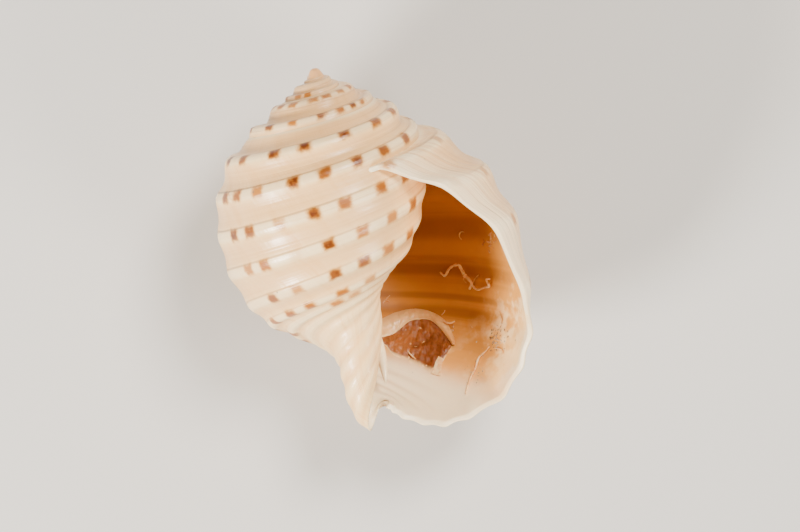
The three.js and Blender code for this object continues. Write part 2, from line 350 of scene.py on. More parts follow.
@dataclass(frozen=True)
class Lie:
    """How the shell lies, and how it was seen.

    Args:
        nod: How far the apex tips toward the camera.
        lean: How far the apex leans to the left in the photograph.
        settle: How far the photograph's frame is turned to lay the shell on its back.
        worn: Depth of the flat that is worn on the ribs it lies on, in millimetres.
    """

    nod: float = math.radians(7.9)
    lean: float = math.radians(11)
    settle: float = math.radians(-6.4)
    worn: float = 0.7

    def seen(self) -> Matrix:
        """Turns the shell's own frame to the photograph's: X right, Y up, Z toward the camera."""
        return Matrix.Rotation(self.lean, 3, "Z") @ Matrix.Rotation(self.nod, 3, "X")

    def settled(self) -> Matrix:
        """Turns the photograph's frame to how the shell lies."""
        return Matrix.Rotation(self.settle, 3, "X")

    def world(self, points: np.ndarray, offset: Vector) -> np.ndarray:
        """Places points where the shell lies, with the worn spot flat on the floor.

        Args:
            points: Points in the shell's own frame, in millimetres.
            offset: Where that frame's apex lies, in millimetres.

        Returns:
            Points in metres.
        """
        placed = points @ np.array(self.settled() @ self.seen()).T + np.array(offset)
        placed[:, 2] = np.maximum(placed[:, 2], 0)
        return placed * MM


LIE = Lie()


class Face(Enum):
    """Which face of the wall a stretch of the sheet runs on."""

    OUTER = 0
    LIP = 1
    INNER = 2


@dataclass
class Photograph:
    """Where points of the shell fall in the photograph.

    Args:
        scale: Millimetres to a pixel at the shell's middle depth.
        apex: The coil's apex in the photograph, across and down.
        size: The photograph's size in pixels.
        distance: How far the camera stands, in millimetres.
        middle_depth: Depth of the shell's middle, in millimetres toward the camera.
    """

    scale: float = 0.2755
    apex: Pixel = (314.0, 66.7)
    size: tuple[int, int] = (800, 532)
    distance: float = 2000.0
    middle_depth: float = -8.0

    def pixels(self, points: np.ndarray) -> np.ndarray:
        """Pixels of points given in the shell's own frame."""
        seen = points @ np.array(LIE.seen()).T / self.scale
        return np.stack([self.apex[0] + seen[:, 0], self.apex[1] - seen[:, 1]], -1)

    def place(self, across: float, down: float) -> Vector:
        """A pixel's place at the middle depth, in millimetres in the photograph's frame."""
        right, up = across - self.apex[0], self.apex[1] - down
        return Vector((right * self.scale, up * self.scale, self.middle_depth))

    def eye(self) -> Vector:
        """Where the camera stands, in millimetres in the photograph's frame."""
        return self.place(self.size[0] / 2, self.size[1] / 2) + Vector((0, 0, self.distance))

    def ray(self, across: float, down: float, offset: Vector) -> tuple[Vector, Vector]:
        """The line of sight through a pixel.

        Args:
            across: Pixels from the left.
            down: Pixels from the top.
            offset: Where the shell's own frame lies, in millimetres.

        Returns:
            The camera's place in metres and the direction.
        """
        eye = (LIE.settled() @ self.eye() + offset) * MM
        far = (LIE.settled() @ self.place(across, down) + offset) * MM
        return eye, (far - eye).normalized()


@dataclass(frozen=True)
class SpotRow:
    """Spots on one rib over half a turn, placed by where the photograph shows them.

    Args:
        rib: The spiral rib that carries them.
        from_turn: Turn at which the half-turn starts.
        marks: Each spot's place in the photograph, across and down, and how strong it is.
    """

    rib: int
    from_turn: float
    marks: tuple[tuple[float, float, float], ...]


SPOT_ROWS = (
    SpotRow(2, -3.0, ((287.3, 98.6, 0.5), (298, 96, 0.4), (307.9, 94.4, 0.4))),
    SpotRow(1, -2.0, ((274.7, 107.1, 0.6), (281.5, 105.9, 0.5), (293.4, 102.1, 0.4), (312.9, 99, 0.4),
                      (326, 95.2, 0.5), (339.4, 89.5, 0.4), (347.8, 86, 0.4))),
    SpotRow(2, -2.0, ((252.1, 128.9, 0.7), (269.7, 124.3, 0.8), (293, 118.5, 0.4), (320.9, 112.5, 1.0),
                      (338.3, 105.1, 0.5), (351.3, 100.6, 0.9), (360.4, 96, 0.5))),
    SpotRow(1, -1.0, ((229.9, 161, 0.8), (244, 157.2, 0.7), (274.3, 149.5, 0.9), (303.9, 142.4, 1.0),
                      (343.6, 131.2, 0.9), (373.5, 118.9, 0.7), (390.3, 109.7, 0.6))),
    SpotRow(2, -1.0, ((226, 196.6, 0.7), (237.2, 193.8, 0.6), (257.5, 188.2, 0.35), (293.3, 179.1, 1.0),
                      (324.9, 170, 0.7), (357.1, 159.4, 0.85), (383.8, 148.9, 0.7), (405.6, 138.4, 0.7))),
    SpotRow(3, -1.0, ((234.4, 233.8, 0.8), (250.5, 231, 0.7), (280, 221.2, 0.25), (314.4, 212.1, 0.95),
                      (345.2, 201.5, 0.6), (381, 186.8, 0.6), (404.9, 175.6, 0.7))),
    SpotRow(4, -1.0, ((249.7, 270, 0.35), (266.3, 266.8, 0.5), (295.7, 255.3, 0.12), (330.3, 244.4, 0.9),
                      (363.5, 231, 0.4), (391.5, 215.6, 0.35), (412.6, 203.6, 0.7))),
    SpotRow(5, -1.0, ((273.3, 297.4, 0.7), (297.6, 288.5, 0.3), (335.8, 273.8, 0.8), (364.5, 262.3, 0.7),
                      (388.1, 248.9, 0.4), (409, 233.8, 0.55))),
    SpotRow(6, -1.0, ((277.8, 327.4, 0.6), (293.1, 317.8, 0.6), (312.2, 307.6, 0.55), (342.9, 292.3, 0.5),
                      (369.6, 278.3, 0.3))),
    SpotRow(7, -1.0, ((339, 303.8, 0.4), (357.5, 300.6, 0.3))),
)


@dataclass
class Spots:
    """The orange-brown spots, as places along each rib.

    Args:
        coil: The coil that carries them.
        photo: The photograph that shows them.
        seed: Start of the random draws for the hidden side.
        per_half_turn: Spots on half a turn of the hidden side.
        first_gap: Way from the seen side to the first hidden spot, as a share of their spacing.
        powers: Strengths between which the hidden spots' lie.
        lip_power: Strength of the spots close to the lip, as a share of the others'.
        lip_from: Turn from which a spot is close to the lip.
        last_turn: Turn past which there are no spots.
        margin: Turns by which the search goes past the half-turn that is seen.
        samples: Places along a rib that are tried against each seen spot.
        wander: How uneven the hidden spots' spacing is, as a share of it.
        places: Turn and strength of every spot, by rib.
    """

    coil: Coil
    photo: Photograph
    seed: int = 11
    per_half_turn: int = 8
    first_gap: float = 0.6
    powers: tuple[float, float] = (0.3, 1.0)
    lip_power: float = 0.3
    lip_from: float = -0.06
    last_turn: float = 0.22
    margin: float = 0.02
    samples: int = 600
    wander: float = 0.14
    places: dict[int, list[tuple[float, float]]] = field(default_factory=dict)

    def gather(self) -> None:
        """Finds the seen spots' turns and carries the rows on round the hidden side."""
        rng = np.random.default_rng(self.seed)
        step = 0.5 / self.per_half_turn
        for row in SPOT_ROWS:
            places = self.places.setdefault(row.rib, [])
            end = row.from_turn + 0.5
            turns = np.linspace(row.from_turn - self.margin, end + self.margin, self.samples)
            line = self.coil.point(np.full_like(turns, row.rib), turns, np.zeros_like(turns))
            pixels = self.photo.pixels(line)
            for x, y, power in row.marks:
                nearest = np.argmin(np.hypot(pixels[:, 0] - x, pixels[:, 1] - y))
                places.append((float(turns[nearest]), power))
            last_half = row.from_turn == -1
            last = self.last_turn if last_half else end + 0.5
            for turn in np.arange(end + step * self.first_gap, last, step):
                power = float(rng.uniform(*self.powers))
                if last_half and turn > self.lip_from:
                    power *= self.lip_power
                places.append((float(turn + rng.normal(0, step * self.wander)), power))
        log.info("spots on %d ribs, %d in all", len(self.places), sum(map(len, self.places.values())))

    def measure(self, rib: np.ndarray, turn: np.ndarray, radius: np.ndarray) -> tuple[np.ndarray, np.ndarray]:
        """Distance along the rib to the nearest spot, and its strength.

        Args:
            rib: Places down the section.
            turn: Turns of the same points.
            radius: Distances from the axis, in millimetres.

        Returns:
            Distances in millimetres, and strengths from 0 to 1.
        """
        gap = np.full(rib.shape, CLEAR_OF_SPOTS)
        power = np.zeros(rib.shape)
        for number, places in self.places.items():
            here = np.abs(rib - number) < 0.5
            away = np.abs(turn[here][:, None] - np.array([place for place, _ in places])[None])
            away = away * 2 * math.pi * radius[here][:, None]
            nearest = away.argmin(1)
            gap[here] = away[np.arange(len(nearest)), nearest]
            power[here] = np.array([strength for _, strength in places])[nearest]
        return gap, power


def wrapped_grid(name: str, columns: int, rows: int) -> tuple[bpy.types.Object, np.ndarray, np.ndarray]:
    """Adds a flat grid to be wrapped on to a shape.

    Args:
        name: Name of the new object.
        columns: Points across.
        rows: Points up.

    Returns:
        The object, and the column and row of each of its points.
    """
    bpy.ops.object.select_all(action="DESELECT")
    bpy.ops.mesh.primitive_grid_add(x_subdivisions=columns - 1, y_subdivisions=rows - 1, size=1)
    grid = bpy.context.object
    grid.name = name
    flat = np.empty(len(grid.data.vertices) * 3)
    grid.data.vertices.foreach_get("co", flat)
    flat = flat.reshape(-1, 3)
    column = np.rint((flat[:, 0] + 0.5) * (columns - 1)).astype(int)
    row = np.rint((flat[:, 1] + 0.5) * (rows - 1)).astype(int)
    return grid, column, row


def move_points(piece: bpy.types.Object, world: np.ndarray) -> None:
    """Moves a piece's points to places in metres."""
    piece.data.vertices.foreach_set("co", np.asarray(world, float).ravel())
    piece.data.update()


def close_seams(piece: bpy.types.Object, gap: float = 1e-6, outward: bool = False) -> None:
    """Welds points that lie on each other and smooths the shading.

    Args:
        piece: The piece to close.
        gap: Largest distance that is welded, in metres.
        outward: Whether the faces are then turned to point outward.
    """
    bpy.ops.object.select_all(action="DESELECT")
    piece.select_set(True)
    bpy.context.view_layer.objects.active = piece
    bpy.ops.object.mode_set(mode="EDIT")
    bpy.ops.mesh.select_all(action="SELECT")
    bpy.ops.mesh.remove_doubles(threshold=gap)
    if outward:
        bpy.ops.mesh.normals_make_consistent(inside=False)
    bpy.ops.object.mode_set(mode="OBJECT")
    bpy.ops.object.shade_smooth()


def store(piece: bpy.types.Object, values: dict[str, np.ndarray]) -> None:
    """Stores values on a piece's points for its finish to read.

    Args:
        piece: The piece.
        values: One value for each point, by name.
    """
    for key, data in values.items():
        layer = piece.data.attributes.new(key, "FLOAT", "POINT")
        layer.data.foreach_set("value", np.asarray(data, np.float32))


@dataclass
class WallSheet:
    """The whole wall as one sheet: up the outer face, round the lip and back down the inner face.

    Args:
        coil: The coil that it is wound by.
        spots: The spots whose places are stored on it.
        growth_steps: Growth places, and the rows that lead to each from the one before.
        thin_to_full: Growth places between which the wall comes to its full thickness.
        thin: Thickness at the early end, as a share of the full one.
        lip_steps: Rows round the lip.
        lip_back: Turns behind the lip at which its direction is read.
        steps_per_rib: Points from one rib to the next.
        lean_from: Growth place from which the growth lines start to lean as the lip does.
        lean_over: Turns over which they come to lean fully.
    """

    coil: Coil
    spots: Spots
    growth_steps: tuple[tuple[float, int], ...] = (
        (FIRST_TURN, 0), (-3.0, 44), (-1.7, 68), (-1.0, 78), (-0.12, 132), (0.0, 40))
    thin_to_full: tuple[float, float] = (FIRST_TURN, -1.7)
    thin: float = 0.25
    lip_steps: int = 8
    lip_back: float = 0.004
    steps_per_rib: int = 9
    lean_from: float = -2.0
    lean_over: float = 1.5

    def rows(self) -> tuple[np.ndarray, np.ndarray]:
        """Lays out the rows across the sheet.

        Returns:
            Growth place of every row, or the angle round the lip of the lip's rows, and each row's face.
        """
        first = self.growth_steps[0][0]
        growth = [np.array([first, first])]
        for (start, _), (end, steps) in zip(self.growth_steps, self.growth_steps[1:]):
            growth.append(np.linspace(start, end, steps + 1)[1:])
        outer = np.concatenate(growth)
        lip = np.linspace(0, math.pi, self.lip_steps + 2)[1:-1]
        stretches = ((outer, Face.OUTER), (lip, Face.LIP), (outer[::-1], Face.INNER))
        faces = np.concatenate([np.full(len(places), face.value) for places, face in stretches])
        return np.concatenate([places for places, _ in stretches]), faces

    def turn_of(self, growth: np.ndarray, rib: np.ndarray) -> np.ndarray:
        """Turn of a point: the growth lines lean as the lip does."""
        ease = np.clip((growth - self.lean_from) / self.lean_over, 0, 1)
        return growth + self.coil.lip_turn(rib) * ease

    def build(self, name: str) -> bpy.types.Object:
        """Makes the sheet from a grid that is wrapped on to the coil.

        Args:
            name: Name of the new object.

        Returns:
            The mesh, in metres, where it lies.
        """
        place, face = self.rows()
        columns = self.coil.last_rib * self.steps_per_rib + 2
        sheet, column, row = wrapped_grid(name, columns, len(place))
        column = columns - 1 - column
        rib = np.maximum(column - 1, 0) / self.steps_per_rib
        edge = (column == 0) | (row == 0) | (row == len(place) - 1)
        points, turn, depth, growth = self.wrap(rib, place[row], face[row], edge)
        radius = np.hypot(points[:, 0], points[:, 2])
        gap, power = self.spots.measure(rib, turn, radius)
        lip_row = int(np.argmax(face == Face.LIP.value))
        store(sheet, {
            "turn": turn, "rib": rib, "growth": growth, "inside": depth,
            "past_lip": self.travelled(points, column, row, lip_row),
            "spot_gap": gap, "spot_power": power,
            "rib_gap": np.abs(rib - np.round(rib)) * self.rib_pitch(rib, turn),
        })
        move_points(sheet, LIE.world(points, self.coil.offset))
        close_seams(sheet)
        return sheet

    def wrap(self, rib: np.ndarray, place: np.ndarray, face: np.ndarray,
             edge: np.ndarray) -> tuple[np.ndarray, ...]:
        """Places the sheet's points on the coil.

        Args:
            rib: Place down the section of each point.
            place: Growth place of each point, or its angle round the lip.
            face: Face that each point lies on.
            edge: Whether each point lies where the two faces are joined, halfway through the wall.

        Returns:
            Points in the shell's own frame, and their turn, depth and growth place.
        """
        on_lip = face == Face.LIP.value
        growth = np.where(on_lip, 0.0, place)
        turn = self.turn_of(growth, rib)
        through = np.interp(growth, self.thin_to_full, (self.thin, 1.0))
        depth = np.where(face == Face.INNER.value, through, 0.0)
        depth[edge] = through[edge] / 2
        points = self.coil.point(rib, turn, depth)
        lip_rib, lip_turn, angle = rib[on_lip], turn[on_lip], place[on_lip]
        outer = self.coil.point(lip_rib, lip_turn, np.zeros_like(angle))
        inner = self.coil.point(lip_rib, lip_turn, np.ones_like(angle))
        behind = self.coil.point(lip_rib, lip_turn - self.lip_back, np.full_like(angle, 0.5))
        middle = (outer + inner) / 2
        ahead = unit(middle - behind)
        half = (outer - inner) / 2
        reach = np.linalg.norm(half, axis=1)[:, None]
        half[edge[on_lip]] = 0
        points[on_lip] = middle + half * np.cos(angle)[:, None] + ahead * reach * np.sin(angle)[:, None]
        depth[on_lip] = angle / math.pi
        return points, turn, depth, growth

    def travelled(self, points: np.ndarray, column: np.ndarray, row: np.ndarray, lip_row: int) -> np.ndarray:
        """Distance of each point from the lip, measured along its column.

        Args:
            points: The sheet's points, in millimetres.
            column: Column of each point.
            row: Row of each point.
            lip_row: First row of the lip.

        Returns:
            Distances in millimetres, below 0 on the outer face.
        """
        order = np.lexsort((row, column))
        jump = np.linalg.norm(np.diff(points[order], axis=0), axis=1)
        jump[np.diff(column[order]) != 0] = 0
        along = np.concatenate([[0], np.cumsum(jump)]).reshape(column.max() + 1, -1)
        distance = np.empty(len(points))
        distance[order] = (along - along[:, lip_row:lip_row + 1]).ravel()
        return distance

    def rib_pitch(self, rib: np.ndarray, turn: np.ndarray) -> np.ndarray:
        """Distance from one rib to the next.

        Args:
            rib: Places down the section.
            turn: Turns of the same points.

        Returns:
            Distances in millimetres.
        """
        reach = 0.25
        above = self.coil.section(np.maximum(rib - reach, 0), turn)
        below = self.coil.section(np.minimum(rib + reach, self.coil.last_rib), turn)
        return np.linalg.norm(below - above, axis=1) / (2 * reach)


@dataclass
class Column:
    """A rounded piece about the axis: rings at depths below the apex, each with its centre and radius.

    Args:
        rings: Depth, how far the centre lies to the right, and radius, in millimetres.
        sides: Points round each ring.
        steps: Rings in the finished mesh.
    """

    rings: tuple[tuple[float, float, float], ...]
    sides: int = 40
    steps: int = 72

    def build(self, name: str, coil: Coil, marks: dict[str, float]) -> bpy.types.Object:
        """Makes the piece from a wrapped grid.

        Args:
            name: Name of the new object.
            coil: The coil whose axis it stands on.
            marks: Values to store on all its points for the finish.

        Returns:
            The mesh, in metres, where it lies.
        """
        piece, column, row = wrapped_grid(name, self.sides + 1, self.steps)
        rings = np.array(self.rings)
        depths = np.interp(np.linspace(0, len(rings) - 1, self.steps), np.arange(len(rings)), rings[:, 0])
        centre, radius = smooth_through(rings[:, 0], rings[:, 1:], depths).T
        radius = np.maximum(radius, 0)
        radius[[0, -1]] = 0
        angle = column / self.sides * 2 * math.pi
        points = np.stack([centre[row] + radius[row] * np.cos(angle), -depths[row],
                           radius[row] * np.sin(angle)], -1)
        store(piece, {key: np.full(len(points), value) for key, value in marks.items()})
        move_points(piece, LIE.world(points, coil.offset))
        close_seams(piece, outward=True)
        return piece


APEX_BUD = Column((
    (0.62, 0.0, 0.0), (0.7, 0.0, 0.55), (0.95, 0.0, 1.05), (1.35, 0.0, 1.42), (1.94, 0.0, 1.75),
    (2.6, 0.0, 2.1), (3.4, 0.0, 2.5), (4.2, 0.0, 2.85), (5.0, 0.0, 2.8), (5.4, 0.0, 0.0),
), 32, 44)
COLUMELLA = Column((
    (3.0, 0.0, 0.0), (3.2, 0.0, 0.6), (20.0, 0.0, 1.1), (40.0, 0.0, 2.2), (60.0, 0.5, 3.1), (70.0, 1.2, 3.0),
    (76.0, 1.95, 2.05), (80.0, 2.8, 1.55), (83.0, 3.0, 1.4), (86.7, 2.95, 0.95), (89.0, 2.78, 0.5),
    (90.5, 2.66, 0.0),
), 40, 120)


@dataclass
class Mouth:
    """The inner wall as the photograph sees it, for laying dried remains on.

    Args:
        wall: The shell's wall.
        photo: The photograph's frame.
        coil: The coil that the wall follows.
        past_back: How far a line of sight goes on past a face seen from behind, in millimetres.
        inner_from: Depth in the wall from which a point counts as the inner side.
        tree: The inner side's faces, made from the wall.
    """

    wall: bpy.types.Object
    photo: Photograph
    coil: Coil
    past_back: float = 0.05
    inner_from: float = 0.9
    tree: BVHTree = field(init=False)

    def __post_init__(self) -> None:
        """Keeps the faces of the inner side alone."""
        mesh = self.wall.data
        inside = np.empty(len(mesh.vertices), np.float32)
        mesh.attributes["inside"].data.foreach_get("value", inside)
        inner = inside > self.inner_from
        faces = [tuple(face.vertices) for face in mesh.polygons if all(inner[v] for v in face.vertices)]
        self.tree = BVHTree.FromPolygons([vertex.co for vertex in mesh.vertices], faces)

    def spot(self, across: float, down: float, lift: float) -> tuple[Vector, Vector]:
        """A place over the inner wall.

        Args:
            across: Pixels from the left of the photograph.
            down: Pixels from its top.
            lift: Height over the wall in millimetres.

        Returns:
            The place in metres, and the way off the wall.
        """
        start, ahead = self.photo.ray(across, down, self.coil.offset)
        place, normal, _, _ = self.tree.ray_cast(start, ahead)
        while place is not None and normal.dot(ahead) > 0:
            start = place + ahead * self.past_back * MM
            place, normal, _, _ = self.tree.ray_cast(start, ahead)
        if place is None:
            place, normal, _, _ = self.tree.find_nearest(start)
        return place + normal * lift * MM, normal


def even_points(pixels: tuple[Pixel, ...], count: int) -> np.ndarray:
    """Points at even steps along a smooth line through pixels.

    Args:
        pixels: The pixels that the line passes.
        count: How many points.

    Returns:
        The points, across and down.
    """
    line = np.array(pixels, float)
    knots = np.concatenate([[0], np.cumsum(np.linalg.norm(np.diff(line, axis=0), axis=1))])
    return smooth_through(knots, line, np.linspace(0, knots[-1], count))


@dataclass
class DriedSheet:
    """A dried skin between two lines that the photograph shows.

    Args:
        upper: The line along its upper edge, in pixels.
        lower: The line along its lower edge, in pixels.
        lifts: Heights over the wall from the upper edge to the lower, in millimetres.
        thickness: Thickness in millimetres.
        creases: Height of its creases in millimetres.
        across: Points from the upper edge to the lower.
        along: Points along each edge.
        crease_pitch: Creases to a pixel.
        crease_steps: Falling off, growth in fineness and number of the creases' finer steps.
    """

    upper: tuple[Pixel, ...]
    lower: tuple[Pixel, ...]
    lifts: tuple[float, ...]
    thickness: float
    creases: float
    across: int = 24
    along: int = 110
    crease_pitch: float = 0.13
    crease_steps: tuple[float, float, int] = (0.7, 2.1, 4)

    def build(self, name: str, mouth: Mouth) -> bpy.types.Object:
        """Lays the skin in the mouth.

        Args:
            name: Name of the new object.
            mouth: The inner wall that it lies on.

        Returns:
            The mesh, in metres, where it lies.
        """
        skin, column, row = wrapped_grid(name, self.along, self.across)
        lowness = 1 - row / (self.across - 1)
        store(skin, {"lowness": lowness})
        top = even_points(self.upper, self.along)
        low = even_points(self.lower, self.along)
        lifts = np.interp(lowness, np.linspace(0, 1, len(self.lifts)), self.lifts)
        pitch = self.crease_pitch
        points = []
        for i, s, lift in zip(column, lowness, lifts):
            across, down = top[i] * (1 - s) + low[i] * s
            bend = noise.fractal(Vector((across * pitch, down * pitch, 0)), *self.crease_steps)
            place, _ = mouth.spot(across, down, lift + bend * self.creases)
            points.append(place)
        move_points(skin, np.array(points))
        bpy.context.view_layer.objects.active = skin
        thick = skin.modifiers.new("thick", "SOLIDIFY")
        thick.thickness = self.thickness * MM
        thick.offset = 0
        round_edge = skin.modifiers.new("round", "SUBSURF")
        round_edge.levels = round_edge.render_levels = 1
        for modifier in ("thick", "round"):
            bpy.ops.object.modifier_apply(modifier=modifier)
        close_seams(skin, outward=True)
        return skin


@dataclass
class Strand:
    """A dried thread.

    Args:
        line: Its course in the photograph, in pixels.
        radius: Its radius at the middle, in millimetres.
        lifts: Heights of its middle line over the wall, from end to end, in millimetres.
        thinnest: Radius at its ends before they close, as a share of the middle's.
        taper: How late it thins toward its ends, less being later.
        knots: How uneven its radius is.
        knot_pitch: Knots to a pixel.
        sides: Points round it.
        steps: Rings for each point of its line, and the fewest rings.
    """

    line: tuple[Pixel, ...]
    radius: float
    lifts: tuple[float, ...] = (0.2, 0.5, 0.2)
    thinnest: float = 0.45
    taper: float = 0.4
    knots: float = 0.5
    knot_pitch: float = 0.35
    sides: int = 10
    steps: tuple[int, int] = (12, 24)

    def build(self, name: str, mouth: Mouth) -> bpy.types.Object:
        """Lays the thread in the mouth as a tapered tube wrapped from a grid.

        Args:
            name: Name of the new object.
            mouth: The inner wall that it lies on.

        Returns:
            The mesh, in metres, where it lies.
        """
        each, fewest = self.steps
        count = max(fewest, len(self.line) * each)
        tube, column, row = wrapped_grid(name, self.sides + 1, count)
        course = even_points(self.line, count)
        lifts = np.interp(np.linspace(0, 1, count), np.linspace(0, 1, len(self.lifts)), self.lifts)
        spots = [mouth.spot(x, y, lift + self.radius) for (x, y), lift in zip(course, lifts)]
        places = np.array([place for place, _ in spots])
        ahead = unit(np.gradient(places, axis=0))
        side = unit(np.cross(ahead, np.array([normal for _, normal in spots])))
        over = np.cross(side, ahead)
        ends = np.sin(np.linspace(0, math.pi, count)) ** self.taper
        pitch = self.knot_pitch
        knots = np.array([noise.noise(Vector((x * pitch, y * pitch, 1.0))) for x, y in course])
        radius = self.radius * (self.thinnest + (1 - self.thinnest) * ends) * (1 + self.knots * knots)
        radius[[0, -1]] = 0
        angle = column / self.sides * 2 * math.pi
        reach = (radius * MM)[row][:, None]
        round_it = side[row] * np.cos(angle)[:, None] + over[row] * np.sin(angle)[:, None]
        move_points(tube, places[row] + reach * round_it)
        close_seams(tube, outward=True)
        return tube


@dataclass
class Crumbs:
    """A scatter of small dried crumbs.

    Args:
        middle: Middle of the scatter in the photograph, in pixels.
        spread: How far it spreads across and down, in pixels.
        count: How many crumbs.
        size: Largest crumb, in millimetres.
        seed: Start of its random draws.
        sunk: How far the crumbs are sunk in what they lie on, as a share of their lift.
        smallest: Smallest crumb, as a share of the largest.
        lift: Height of a crumb's middle, as a share of its size.
        narrow: Least and most width, as shares of the length.
        height: Height, as a share of the length.
        lumps: How uneven a crumb is.
        lump_pitch: Lumps to half a crumb.
        apart: How far the noise of crumbs of different size is shifted, for each millimetre.
    """

    middle: Pixel
    spread: Pixel
    count: int
    size: float
    seed: int
    sunk: float = 0.3
    smallest: float = 0.3
    lift: float = 0.3
    narrow: tuple[float, float] = (0.35, 0.9)
    height: float = 0.35
    lumps: float = 0.5
    lump_pitch: float = 1.4
    apart: float = 40.0

    def build(self, name: str, mouth: Mouth) -> bpy.types.Object:
        """Lays the crumbs in the mouth as one piece.

        Args:
            name: Name of the new object.
            mouth: The inner wall that they lie on.

        Returns:
            The mesh, in metres, where it lies.
        """
        rng = np.random.default_rng(self.seed)
        bpy.ops.object.select_all(action="DESELECT")
        bpy.ops.mesh.primitive_ico_sphere_add(subdivisions=2, radius=1)
        model = bpy.context.object
        crumbs = []
        for _ in range(self.count):
            crumb = model.copy()
            crumb.data = model.data.copy()
            bpy.context.collection.objects.link(crumb)
            across = self.middle[0] + rng.normal() * self.spread[0]
            down = self.middle[1] + rng.normal() * self.spread[1]
            size = self.size * rng.uniform(self.smallest, 1.0)
            place, normal = mouth.spot(across, down, size * self.lift * (1 - self.sunk))
            shape = np.array([size, size * rng.uniform(*self.narrow), size * self.height])
            corners = np.array([vertex.co for vertex in crumb.data.vertices])
            shift = Vector((size * self.apart, across, down))
            rough = np.array([noise.noise(Vector(corner) * self.lump_pitch + shift) for corner in corners])
            corners = corners * shape * (1 + self.lumps * rough)[:, None]
            spin = Matrix.Rotation(rng.uniform(0, 2 * math.pi), 3, "Z")
            turn = normal.to_track_quat("Z", "Y").to_matrix() @ spin
            move_points(crumb, corners @ np.array(turn).T * MM + np.array(place))
            crumbs.append(crumb)
        bpy.data.objects.remove(model)
        for crumb in crumbs:
            crumb.select_set(True)
        bpy.context.view_layer.objects.active = crumbs[0]
        bpy.ops.object.join()
        piece = bpy.context.object
        piece.name = name
        bpy.ops.object.shade_smooth()
        return piece


# Edges of the dried rim and of the film below it, in the photograph's pixels
RIM_OUTER = ((378.5, 321.5), (380.5, 320.2), (391.0, 314.6), (405.0, 310.4), (419.0, 309.3), (429.6, 311.8),
             (438.8, 316.0), (445.8, 321.6), (450.7, 329.3), (454.2, 337.7), (454.9, 346.0))
RIM_INNER = ((378.5, 339.5), (384.0, 338.5), (393.2, 335.5), (400.2, 329.5), (409.3, 322.5), (419.0, 320.4),
             (430.4, 320.8), (438.0, 325.5), (444.5, 332.5), (449.5, 339.5), (453.8, 346.5))
FILM_TOP = ((378.5, 336.5), (384.0, 334.7), (393.2, 331.5), (400.2, 325.5), (409.3, 318.4), (419.0, 317.0),
            (430.4, 319.0), (440.2, 325.0), (447.2, 332.0), (451.0, 339.0), (452.0, 345.0))
FILM_LOW = ((378.5, 343.5), (385.8, 346.0), (391.0, 353.0), (398.0, 357.4), (408.6, 361.6), (419.0, 366.5),
            (430.4, 373.0), (438.0, 371.5), (443.7, 360.0), (447.6, 353.0), (450.7, 347.0))

SKINS = {
    "dried_rim": DriedSheet(RIM_OUTER, RIM_INNER, (0.25, 0.8, 1.1, 0.95, 0.6), 0.5, 0.2, 14),
    "dried_film": DriedSheet(FILM_TOP, FILM_LOW, (0.5, 0.4, 0.45, 0.35, 0.2, -0.1), 0.18, 0.35, 40),
    "dried_flap": DriedSheet(((439.0, 357.0), (443.5, 359.0)), ((431.0, 374.5), (440.5, 377.0)),
                             (0.5, 0.9, 0.7, 0.4), 0.16, 0.3, 20, 12),
}

STRANDS = (
    Strand(((440.8, 272.1), (446.6, 275.9), (451.6, 268.8), (458.2, 264.3), (462.3, 264.3)), 0.4,
           (0.3, 0.9, 1.1)),
    Strand(((461.5, 262.8), (464.5, 268.5), (468.0, 275.5), (473.9, 282.9), (470.6, 289.6)), 0.52,
           (1.1, 0.9, 0.2)),
    Strand(((467.3, 274.6), (464.8, 279.0), (467.5, 283.5)), 0.14),
    Strand(((473.9, 282.9), (477.0, 278.0), (479.8, 274.6)), 0.16),
    Strand(((473.9, 284.9), (476.4, 287.9), (479.8, 289.6), (488.0, 287.1), (492.2, 286.2), (489.7, 279.6),
            (493.8, 278.8)), 0.38, (0.3, 0.6, 0.9)),
    Strand(((462.5, 239.6), (460.6, 235.8), (462.2, 231.6), (465.2, 231.8)), 0.17),
    Strand(((446.0, 322.5), (449.5, 324.5), (453.5, 324.2), (457.2, 322.8)), 0.26, (1.4, 1.2, 1.0)),
    Strand(((443.0, 316.8), (445.2, 313.5), (446.2, 310.5)), 0.14, (1.0, 0.8, 0.6)),
    Strand(((408.0, 352.5), (411.0, 357.0), (415.5, 361.0)), 0.18, (0.6, 0.8, 0.5)),
    Strand(((382.8, 303.6), (386.0, 299.4), (390.0, 295.2)), 0.14),
    Strand(((386.2, 299.8), (389.5, 301.5)), 0.1),
    Strand(((471.3, 325.0), (473.6, 328.5)), 0.14),
    Strand(((491.2, 346.0), (485.0, 353.5), (479.7, 358.3), (475.9, 369.7), (471.3, 378.2), (468.3, 386.6),
            (466.0, 395.0)), 0.3, (0.1, 0.15, 0.1)),
    Strand(((495.0, 348.3), (501.9, 349.8), (503.4, 353.7)), 0.14, (0.1, 0.2, 0.1)),
    Strand(((500.0, 311.0), (502.3, 320.0), (499.6, 330.0)), 0.13, (0.1, 0.2, 0.1)),
)

CRUMBS = {
    "crumbs_film": Crumbs((416.0, 341.0), (7.0, 4.5), 34, 0.75, 3, 0.2),
    "crumbs_flap": Crumbs((440.0, 332.0), (6.0, 3.0), 16, 0.6, 4, 0.0),
    "crumbs_side": Crumbs((497.0, 338.0), (4.0, 6.5), 60, 0.42, 5),
    "crumbs_upper": Crumbs((490.5, 240.5), (3.0, 4.5), 34, 0.5, 6),
    "crumbs_low": Crumbs((478.0, 372.0), (7.0, 12.0), 24, 0.3, 7),
}


